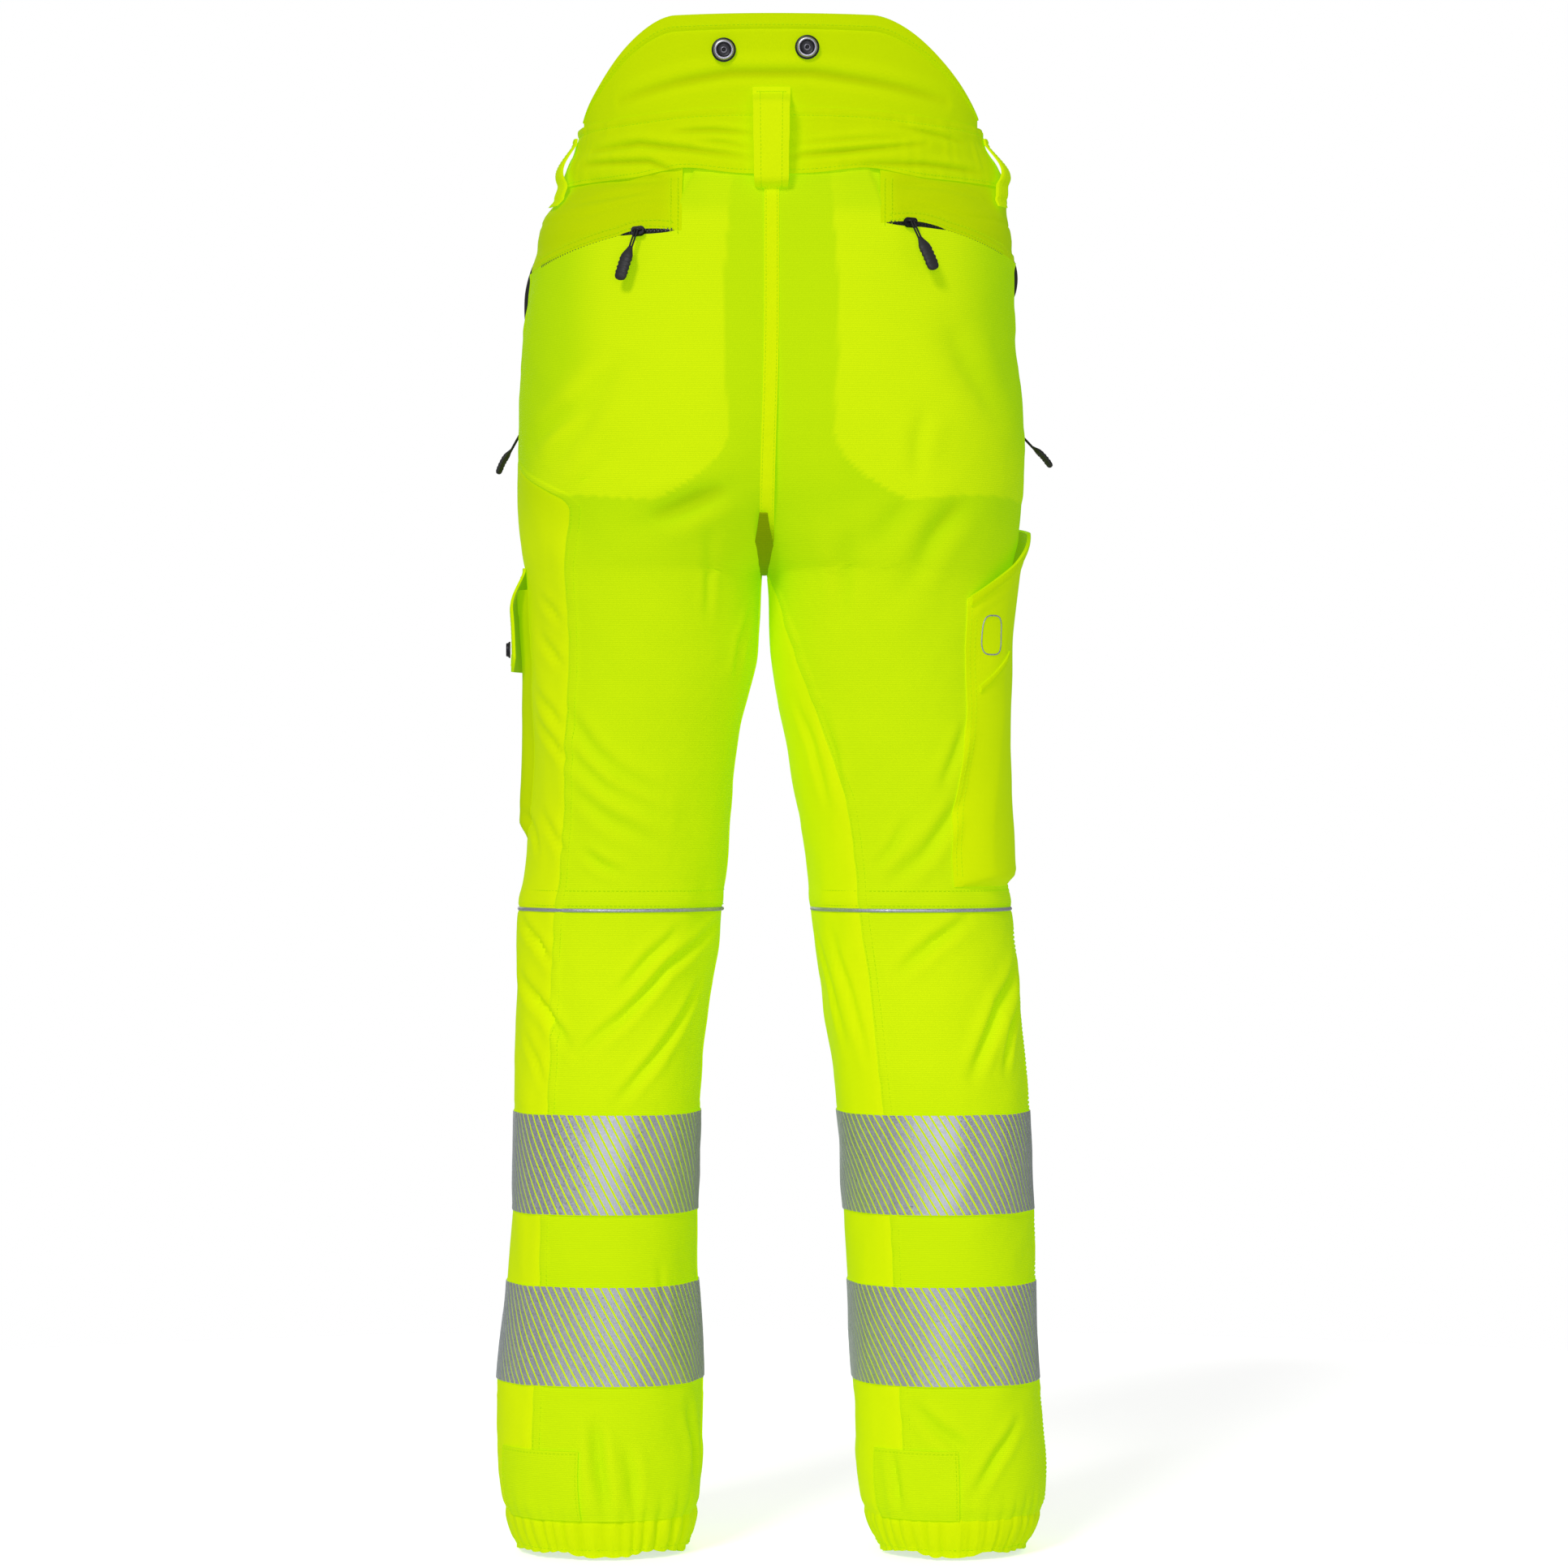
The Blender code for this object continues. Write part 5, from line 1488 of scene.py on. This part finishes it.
def build_mark():
    """A plain rounded ring on the pocket, with no lettering."""
    turn = np.linspace(0, 2 * math.pi, 97)
    heights = -0.3405 + 0.0145 * signed_power(np.sin(turn), 0.6)
    angles = TOOL.angle(0.815 + 0.075 * signed_power(np.cos(turn), 0.6), heights)
    lift = tool_lift(angles, heights) + 0.0004
    place = skin(RIGHT, heights, angles, lift)
    outs = skin(RIGHT, heights, angles, lift + 0.01) - place
    made = tube("pocket_mark", place, 0.00055, "film", outs, 6, 0.7)
    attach(made, "trousers")


# ---------------------------------------------------------------- loops and studs
def box_of(name):
    return [np.array(list(corner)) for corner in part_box(name)]


def rounded_path(corners):
    """A polyline with its inner corners turned into arcs of up to 4 mm."""
    corners = [np.array(c, float) for c in corners]
    line = [corners[0]]
    for before, corner, after in zip(corners[:-2], corners[1:-1], corners[2:]):
        into, out = corner - before, after - corner
        reach = min(0.004, np.linalg.norm(into) * 0.48, np.linalg.norm(out) * 0.48)
        start = corner - into / np.linalg.norm(into) * reach
        end = corner + out / np.linalg.norm(out) * reach
        for t in np.linspace(0, 1, 7):
            line.append((1 - t) ** 2 * start + 2 * t * (1 - t) * corner + t**2 * end)
    line.append(corners[-1])
    return np.array(line)


def build_loop(name, corners, out, width_low, width_high, thickness=0.0021):
    """A belt loop: a doubled strap bent along corners, given as (distance along out, height)."""
    low, high = box_of(name)
    middle = (low + high) / 2
    out = np.array(out, float)
    along = np.cross(out, [0, 0, 1.0])
    path = rounded_path(corners)
    place = np.outer(path[:, 0], out) + np.outer(path[:, 1], [0, 0, 1.0])
    place += along * (middle @ along)
    tangent = np.gradient(place, axis=0)
    normal = np.cross(along, tangent)
    normal *= np.sign((normal @ out).sum())
    normal /= np.linalg.norm(normal, axis=1, keepdims=True)
    across = np.linspace(-1, 1, 11)[None, :]
    t = np.linspace(0, 1, len(path))
    half = mix(width_low, width_high, ease(t))[:, None] / 2
    stitched = np.exp(-(((np.abs(across) - 0.72) / 0.08) ** 2))
    bulge = thickness * 0.35 * (1 - across**4) - 0.0003 * stitched
    base = place[:, None] + along * (across * half)[..., None]
    outer = base + normal[:, None] * (thickness / 2 + bulge)[..., None]
    inner = base - normal[:, None] * (thickness / 2) * np.ones_like(bulge)[..., None]
    made = shell(name, outer, inner, "smooth", tone=np.full(outer.shape[:2], 0.9), sharp=70)
    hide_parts(name)
    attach(made, "trousers")
    for k in (2, 8):
        THREAD.stitches("left", outer[:, k] + normal * 0.0001, normal, 0.003)
    for row in (2, len(path) - 3):
        line = outer[row, 1:-1] + normal[row] * 0.0002
        THREAD.stitches("left", line, np.tile(normal[row], (9, 1)), 0.0016, 0.0016)


def build_side_loop(side):
    """A side loop, which stands a little off the waistband, with daylight behind it."""
    name = "belt_loop_side_" + NAMES[side]
    rows, across = 44, np.linspace(-1, 1, 11)[None, :]
    t = np.linspace(0, 1, rows)[:, None]
    heights = mix(0.0350, -0.0185, t) + 0 * across
    angles = np.radians(187 + 10 * ease((0.022 - heights) / 0.042)) + across * 0.009 / WAIST_RADIUS
    gap = np.sin(math.pi * np.clip((t - 0.10) / 0.80, 0, 1)) ** 0.8
    off = 0.0030 + hip_flare(side, heights, angles) + 0.0050 * gap
    thickness = 0.0018 + 0.0005 * (1 - across**4)
    outer, inner = layers(skin, side, heights, angles, off + thickness, thickness)
    made = shell(name, outer, inner, "smooth", tone=0.6 + 0.0 * heights, sharp=70)
    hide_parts(name)
    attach(made, "trousers")
    outs = skin(side, heights, angles, 0.01) - skin(side, heights, angles)
    for k in (2, 8):
        THREAD.stitches(NAMES[side], outer[:, k], outs[:, k], 0.003)


def build_loops():
    low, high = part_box("belt_loop_back")
    strip, crest = low[1], high[1] - 0.001
    upper = band_place(np.array([0.06]), np.array([0.0]), 0.0)[0, 1]
    corners = (
        (strip + 0.0010, -0.0200), (strip + 0.0012, -0.0135), (crest - 0.0010, -0.0080), (crest, 0.022),
        (crest - 0.0015, 0.049), (upper + 0.0024, 0.0565), (upper + 0.0020, 0.0625),
    )
    build_loop("belt_loop_back", corners, (0, 1, 0), 0.0245, 0.0280)
    for side, label in NAMES.items():
        build_side_loop(side)
        low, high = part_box("belt_loop_front_" + label)
        crest, foot = -low[1] - 0.0008, -high[1] + 0.0012
        corners = (
            (foot, -0.0010), (foot, 0.0055), (crest - 0.0004, 0.0105), (crest, 0.0200),
            (crest - 0.0004, 0.0300), (foot, 0.0345), (foot, 0.0400),
        )
        build_loop("belt_loop_front_" + label, corners, (0, -1, 0), 0.014, 0.014, 0.0018)


def turned(name, rings, finishes, sides=48):
    """A profile of (radius, height, finish index) rings turned about local Z."""
    turn = np.linspace(0, 2 * math.pi, sides, endpoint=False)
    points = [(0, 0, rings[0][1])]
    for radius, height, _ in rings:
        points += [(radius * math.cos(a), radius * math.sin(a), height) for a in turn]
    points.append((0, 0, rings[-1][1]))
    faces, marks = [], []
    for k in range(sides):
        after = (k + 1) % sides
        faces.append([0, 1 + after, 1 + k])
        marks.append(rings[0][2])
        for i in range(len(rings) - 1):
            a, b = 1 + i * sides, 1 + (i + 1) * sides
            faces.append([a + k, a + after, b + after, b + k])
            marks.append(rings[i + 1][2])
        last = 1 + (len(rings) - 1) * sides
        faces.append([last + k, last + after, len(points) - 1])
        marks.append(rings[-1][2])
    return make_object(name, points, faces, finishes, marks, sharp=40)


# a press stud's profile from its rim in: share of the radius, height, 1 for the flange or 0 for the ring
STUD_PROFILE = (
    (0.99, 0.0000, 1), (1.00, 0.0005, 1), (1.00, 0.0010, 1), (0.93, 0.0015, 1), (0.86, 0.0016, 1),
    (0.84, 0.0023, 0), (0.80, 0.0030, 0), (0.74, 0.0033, 0), (0.66, 0.0033, 0), (0.61, 0.0029, 0),
    (0.58, 0.0020, 1), (0.50, 0.0015, 1), (0.30, 0.0015, 1), (0.26, 0.0021, 0), (0.18, 0.0024, 0),
    (0.10, 0.0021, 1), (0.06, 0.0017, 1),
)


def build_stud(name, body, radius, ring_finish, place, out):
    """A press stud: dark flange, bright ring and a recessed cup with a spring."""
    rings = [(radius * share, height, part) for share, height, part in STUD_PROFILE]
    made = turned(name, rings, [ring_finish, "dark_metal"])
    made.rotation_euler = Vector((0, 0, 1)).rotation_difference(Vector(out)).to_euler()
    made.location = place
    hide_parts(name)
    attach(made, body)


def build_waist_stud(name, radius):
    """A stud flat against the waist, on the inner face of its CAD box."""
    low, high = box_of(name)
    k = int(np.argmin(high - low))
    face = 1 if (low + high)[k] > 0 else -1
    place = (low + high) / 2
    place[k] = low[k] if face > 0 else high[k]
    build_stud(name, "trousers", radius, "metal", place, np.eye(3)[k] * face)


def build_flap_stud():
    z, angle = -0.350, math.radians(184)
    out = unit(skin(LEFT, z, angle, 0.01) - skin(LEFT, z, angle))
    build_stud("cargo_flap_stud", "cargo_flap", 0.0062, "dark_metal", skin(LEFT, z, angle, 0.0154), out)


# ---------------------------------------------------------------- zips
class Zip:
    """One zip's line and frames, read from its joints."""

    def __init__(self, name):
        self.name = name
        slide = joint(name + "_zip_slide")
        centre, axis = np.array(slide["pos_m"]), unit(slide["axis"])
        low, high = box_of(name + "_slider")
        arm = (low + high) / 2 - centre
        arm -= axis * (arm @ axis)
        self.out = unit(arm)
        self.along = np.cross(axis, self.out)
        self.middle = centre + self.out * np.linalg.norm(arm)
        swing = joint(name + "_pull_swing")
        self.pivot = np.array(swing["pos_m"])
        self.width = unit(swing["axis"])
        low, high = box_of(name + "_pull")
        hang = (low + high) / 2 - self.pivot
        self.hang = unit(hang - self.width * (hang @ self.width))


def joint(name):
    return next(j for j in frame["record"]["behaviour"]["joints"] if j["name"] == name)


def unit(vector):
    vector = np.array(vector, float)
    return vector / np.linalg.norm(vector)


def zip_path(name):
    """Where a zip's tape lies: points and outward directions on the cloth."""
    t = np.linspace(0, 1, 90)
    side = LEFT if name.endswith("left") else RIGHT
    if name.startswith("back"):
        x = mix(SLITS[side]["inner"] - 0.001, 0.172, t)
        z = slit_height(side, x)
        angle = back_angle(side, z, x)
        return cloth(side, z, angle, 0.0004), cloth_normal(side, z, angle)
    if name.startswith("hand"):
        z = mix(-0.055, -0.192, t)
        angle = np.radians(mix(176.2, 159.8, t))
        return cloth(side, z, angle, 0.0016), cloth_normal(side, z, angle)
    z = mix(-0.004, -0.170, t)
    y = skin(LEFT, z, front_angle(LEFT, z, 0.006), 0.0)[:, 1] - 0.0016
    return np.stack((0 * z, y, z), axis=1), np.tile([0, -1.0, 0], (len(z), 1))


def build_zip(name):
    """A zip's tape, teeth, slider and pull."""
    zipper = Zip(name)
    line, outs = zip_path(name)
    along = np.gradient(line, axis=0)
    along /= np.linalg.norm(along, axis=1, keepdims=True)
    sideways = np.cross(outs, along)
    half = 0.0034 if name.startswith("back") else 0.0044
    across = np.linspace(-1, 1, 7)[None, :, None]
    fold = 0.0004 * (1 - np.abs(across))
    outer = line[:, None] + sideways[:, None] * (across * half) + outs[:, None] * fold
    inner = outer - outs[:, None] * 0.0008
    tape = shell(name + "_zip_tape", outer, inner, "tape")
    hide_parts(name + "_zip_tape")
    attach(tape, "trousers")
    build_teeth(name, line, outs, along, sideways)
    build_slider(zipper)
    build_pull(zipper)


def build_teeth(name, line, outs, along, sideways):
    """A coil: small loops, alternately from each side."""
    run = distances(line)
    at = np.arange(0.002, run[-1] - 0.002, 0.0014)
    place, out, way, aside = (read_along(run, values, at) for values in (line, outs, along, sideways))
    hand = np.where(np.arange(len(at)) % 2, 1.0, -1.0)[:, None]
    centre = place + aside * hand * 0.0005 + out * 0.0008
    corners = []
    for w, size in ((-1, 1), (1, 0.7)):
        for u, v in ((-size, -size), (size, -size), (size, size), (-size, size)):
            corners.append(centre + aside * u * 0.0011 + way * v * 0.0005 + out * w * 0.0005)
    points = np.stack(corners, axis=1).reshape(-1, 3)
    cube = ((3, 2, 1, 0), (4, 5, 6, 7), (0, 1, 5, 4), (1, 2, 6, 5), (2, 3, 7, 6), (3, 0, 4, 7))
    faces = [[8 * n + v for v in face] for n in range(len(at)) for face in cube]
    made = make_object(name + "_teeth", points, faces, ["teeth"], sharp=30)
    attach(made, "trousers")


def from_lowest(face):
    """A face listed from its lowest vertex on, since a bevel lists its faces differently in each run."""
    start = face.index(min(face))
    return face[start:] + face[:start]


def bevelled(name, outline_points, height, finish, bevel):
    """A plate of the given outline, with its edges eased."""
    bm = bmesh.new()
    ring = [bm.verts.new((x, y, -height / 2)) for x, y in outline_points]
    face = bm.faces.new(ring)
    made = bmesh.ops.extrude_face_region(bm, geom=[face])
    top = [v for v in made["geom"] if isinstance(v, bmesh.types.BMVert)]
    bmesh.ops.translate(bm, verts=top, vec=(0, 0, height))
    bmesh.ops.recalc_face_normals(bm, faces=bm.faces)
    bmesh.ops.bevel(bm, geom=bm.edges[:], offset=bevel, segments=2, affect="EDGES")
    bm.verts.index_update()
    points = [tuple(v.co) for v in bm.verts]
    faces = [[v.index for v in face.verts] for face in bm.faces]
    bm.free()
    mesh = bpy.data.meshes.new(name)
    mesh.from_pydata(points, [], sorted(from_lowest(face) for face in faces))
    mesh.materials.append(MATERIALS[finish])
    mesh.shade_smooth()
    mesh.set_sharp_from_angle(angle=math.radians(40))
    return linked(name, mesh)


def oriented(made, place, x_axis, z_axis):
    """The piece moved to a place, with its own X and Z turned to the given directions."""
    z_axis = unit(z_axis)
    y_axis = unit(np.cross(z_axis, x_axis))
    x_axis = np.cross(y_axis, z_axis)
    turn = Matrix([Vector(x_axis), Vector(y_axis), Vector(z_axis)]).transposed()
    made.matrix_world = Matrix.Translation(Vector(place)) @ turn.to_4x4()
    return made


SHIELD = ((-0.0050, -0.0022), (-0.0030, -0.0036), (0.0040, -0.0036), (0.0052, -0.0020))
SHIELD += tuple((x, -y) for x, y in reversed(SHIELD))
CORE = ((-0.0030, -0.0008), (0.0030, -0.0012), (0.0030, 0.0012), (-0.0030, 0.0008))
# name, outline, how far out it lies, height, bevel
SLIDER_PLATES = (
    ("_top", SHIELD, 0.0009, 0.0010, 0.0003),
    ("_base", SHIELD, -0.0011, 0.0010, 0.0003),
    ("_core", CORE, -0.0001, 0.0022, 0.0002),
)
HALF_ARCH = ((0.0034, 0.0012), (0.0030, 0.0026), (0.0012, 0.0036))
SLIDER_ARCH = np.array(HALF_ARCH + tuple((-x, y) for x, y in reversed(HALF_ARCH)))


def build_slider(zipper):
    """A shield-shaped slider body with a bridge for the pull."""
    name, out = zipper.name + "_slider", zipper.out
    plates = []
    for part, outline_points, shift, height, bevel in SLIDER_PLATES:
        plate = bevelled(name + part, outline_points, height, "dark_metal", bevel)
        plates.append(oriented(plate, zipper.middle + out * shift, zipper.along, out))
    line = zipper.middle + np.outer(SLIDER_ARCH[:, 0], zipper.along) + np.outer(SLIDER_ARCH[:, 1], out)
    aside = np.tile(np.cross(zipper.along, out), (len(line), 1))
    plates.append(tube(name + "_bridge", line, 0.00065, "dark_metal", aside))
    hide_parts(name)
    for plate in plates:
        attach(plate, name)


def build_pull(zipper):
    """A loop of cord through the bridge, held in a ridged rubber grip."""
    name = zipper.name + "_pull"
    hang, width = zipper.hang, zipper.width
    out = np.cross(width, hang)
    near, far, half_gap = 0.0012, 0.0165, 0.0010
    down = [(half_gap, d) for d in np.linspace(far, near, 12)]
    turn = np.linspace(0.3, math.pi - 0.3, 8)
    bend = [(half_gap * math.cos(a), near - 0.0018 * math.sin(a)) for a in turn]
    line = np.array(down + bend + [(-half_gap, d) for d in np.linspace(near, far, 12)])
    place = zipper.pivot + np.outer(line[:, 0], width) + np.outer(line[:, 1], hang)
    cord = tube(name + "_cord", place, 0.00072, "tape", np.tile(out, (len(line), 1)))
    stations = np.linspace(0, 1, 40)
    reach = 0.0355 if name.startswith("hand") else 0.0415
    distance = mix(0.0135, reach, stations)
    half = 0.0019 + 0.0029 * ease(stations / 0.35) - 0.0010 * ease((stations - 0.86) / 0.14)
    ridges = 0.00035 * np.sin(stations * 2 * math.pi * 8)
    half += ridges * ease((stations - 0.3) / 0.1) * (1 - ease((stations - 0.8) / 0.1))
    half *= np.sqrt(np.clip(1 - ((stations - 0.5) / 0.503) ** 24, 0.05, 1))
    curve = 0.0012 * np.sin(stations * math.pi)
    middle = zipper.pivot + np.outer(distance, hang) + np.outer(curve, out)
    grip = tube(name, middle, half, "rubber", np.tile(out, (len(middle), 1)), 20, 0.48)
    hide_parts(name)
    for piece, slot in ((cord, "black_fabric"), (grip, "black_rubber")):
        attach(piece, name)


# hand pocket facings: top and bottom of what shows beside the zip
FACINGS = {LEFT: (-0.055, -0.104), RIGHT: (-0.053, -0.084)}


def build_facing(side):
    """The hand pocket's dark facing, which gapes a little at the side of the hip."""
    top, bottom = FACINGS[side]
    t = np.linspace(0.02, 0.98, 26)[:, None]
    across = np.linspace(-1, 1, 11)[None, :]
    gape = np.sin(math.pi * t) ** 0.7
    heights = mix(top, bottom, t) + 0 * across
    angles = np.radians(mix(182.0, 179.0, t) + across * 4.2 * gape)
    lifts = 0.0006 + 0.0040 * gape * (1 - across**2)
    outer, inner = layers(cloth, side, heights, angles, lifts, 0.0009)
    made = shell("hand_pocket_facing_" + NAMES[side], outer, inner, "tape")
    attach(made, "trousers")


ZIPS = ("fly", "back_pocket_left", "back_pocket_right", "hand_pocket_left", "hand_pocket_right")


def build_placket():
    """The facing beside the fly, with its curved double stitching."""
    t, f = unit_grid(steps(0.2, 0.003), 14)
    z = mix(-0.0008, -0.197, t) + 0 * f
    reach = mix(0.040, 0.012, np.clip((t - 0.80) / 0.20, 0, 1) ** 2)
    x = mix(0.0095, reach, f)
    angle = front_angle(LEFT, z, x)
    edge = np.minimum(f, 1 - f)
    lift = 0.0026 + 0.0006 * ease(edge / 0.2)
    outer, inner = layers(cloth, LEFT, z, angle, lift, 0.0018)
    made = shell("fly_placket", outer, inner, "smooth", uv=np.stack((x, z), axis=-1))
    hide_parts("fly_placket")
    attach(made, "trousers")
    for inset in (0.003, 0.009):
        xs = reach[:, 0] - inset
        sew("left", LEFT, z[:, 0], front_angle(LEFT, z[:, 0], np.maximum(xs, 0.010)), 0.0034)


# ---------------------------------------------------------------- scene
FLOOR_Z = -1.0305
FLOOR_RADIUS = 1.6
FLOOR_GLOW = 0.60
SURROUND = 0.26
CAMERA_PLACE = (-0.0086, 4.0, -0.4514)
SUN_WAY = (1.0, 2.6, 1.9)
# name, place, height it is aimed at, width, watts
SOFTBOXES = (
    ("front", (-0.2, 4.4, -0.4), -0.55, 2.2, 44),
    ("fill_right", (-3.0, 1.6, -0.3), -0.45, 1.0, 5),
    ("far_side", (0.8, -4.4, 0.2), -0.5, 2.4, 36),
)


def camera_rays(tree):
    """1 for what the camera sees directly and 0 for light on its way."""
    return tree.nodes.new("ShaderNodeLightPath").outputs["Is Camera Ray"]


def build_stage():
    """A pale round floor, under a white surround."""
    turn = np.linspace(0, 2 * math.pi, 96, endpoint=False)
    radii = np.linspace(0.05, FLOOR_RADIUS, 24)
    points = [(r * math.cos(a), r * math.sin(a), FLOOR_Z) for r in radii for a in turn]
    faces = grid_faces(len(radii), len(turn), 0, ring=True).tolist()
    faces.append(list(range(len(turn))))
    mesh = bpy.data.meshes.new("floor")
    mesh.from_pydata(points, [], faces)
    paper = new_material("pale_floor", (0.93, 0.93, 0.93), 0.9)
    tree, shader = nodes_of(paper)
    shader.inputs["Emission Color"].default_value = (1, 1, 1, 1)
    glow = math_node(tree, "MULTIPLY", camera_rays(tree), FLOOR_GLOW)
    tree.links.new(glow, shader.inputs["Emission Strength"])
    mesh.materials.append(paper)
    linked("floor", mesh)


def build_world():
    """Soft light from all round, in front of a white surround."""
    world = bpy.data.worlds.new("studio")
    world.use_nodes = True
    tree = world.node_tree
    background = tree.nodes["Background"]
    background.inputs["Color"].default_value = (1, 1, 1, 1)
    extra = math_node(tree, "MULTIPLY", camera_rays(tree), 1.0 - SURROUND)
    tree.links.new(math_node(tree, "ADD", extra, SURROUND), background.inputs["Strength"])
    bpy.context.scene.world = world


def aimed(made, way):
    """Turns a light so that it shines along a direction."""
    made.rotation_euler = way.to_track_quat("-Z", "Y").to_euler()


def add_light(name, place, target, size, power):
    light = bpy.data.lights.new(name, "AREA")
    light.shape = "RECTANGLE"
    light.size, light.size_y = size
    light.energy = power
    made = linked(name, light)
    made.location = place
    aimed(made, Vector(target) - Vector(place))


def add_sun(towards, softness, strength):
    """A distant softbox: its light falls at one angle from the waist to the hem."""
    light = bpy.data.lights.new("key", "SUN")
    light.angle = math.radians(softness)
    light.energy = strength
    aimed(linked("key", light), -Vector(towards))


def build_studio():
    scene = bpy.context.scene
    scene.view_settings.view_transform = "Standard"
    build_world()
    add_sun(SUN_WAY, 14, 1.35)
    for name, place, target_z, width, power in SOFTBOXES:
        add_light(name, place, (0, 0, target_z), (width, 2.4), power)
    camera = bpy.data.cameras.new("camera")
    camera.sensor_width = 36
    camera.lens = 121.2
    made = linked("camera", camera)
    made.location = CAMERA_PLACE
    made.rotation_euler = (math.radians(90), 0, math.pi)
    scene.camera = made


def build_thread():
    """One object of stitches for each leg."""
    for side, label in NAMES.items():
        made = THREAD.build(label, "stitching_" + label)
        bend_at_knee(made)


for side in (LEFT, RIGHT):
    build_back_panel(side)
    build_front_panel(side)
    build_yoke(side)
    build_inserts(side)
    for place in BAND_TOPS:
        build_band(side, place)
    build_piping(side)
    build_cuff(side)
    build_hem_patch(side)
build_centre_strip()
build_crotch_gusset()
build_placket()
build_waist()
build_loops()
# The cargo pocket is a little darker all over: painted shade on the side of the thigh.
CARGO.build("cargo_pocket", -0.15)
build_cargo_flap()
build_flap_stud()
build_tool_pocket()
for name in ZIPS:
    build_zip(name)
for side in (LEFT, RIGHT):
    build_facing(side)
for label in NAMES.values():
    build_waist_stud("brace_stud_back_" + label, 0.009)
    build_waist_stud("brace_stud_front_" + label, 0.009)
build_waist_stud("waist_button", 0.0085)
build_thread()
build_stage()
build_studio()
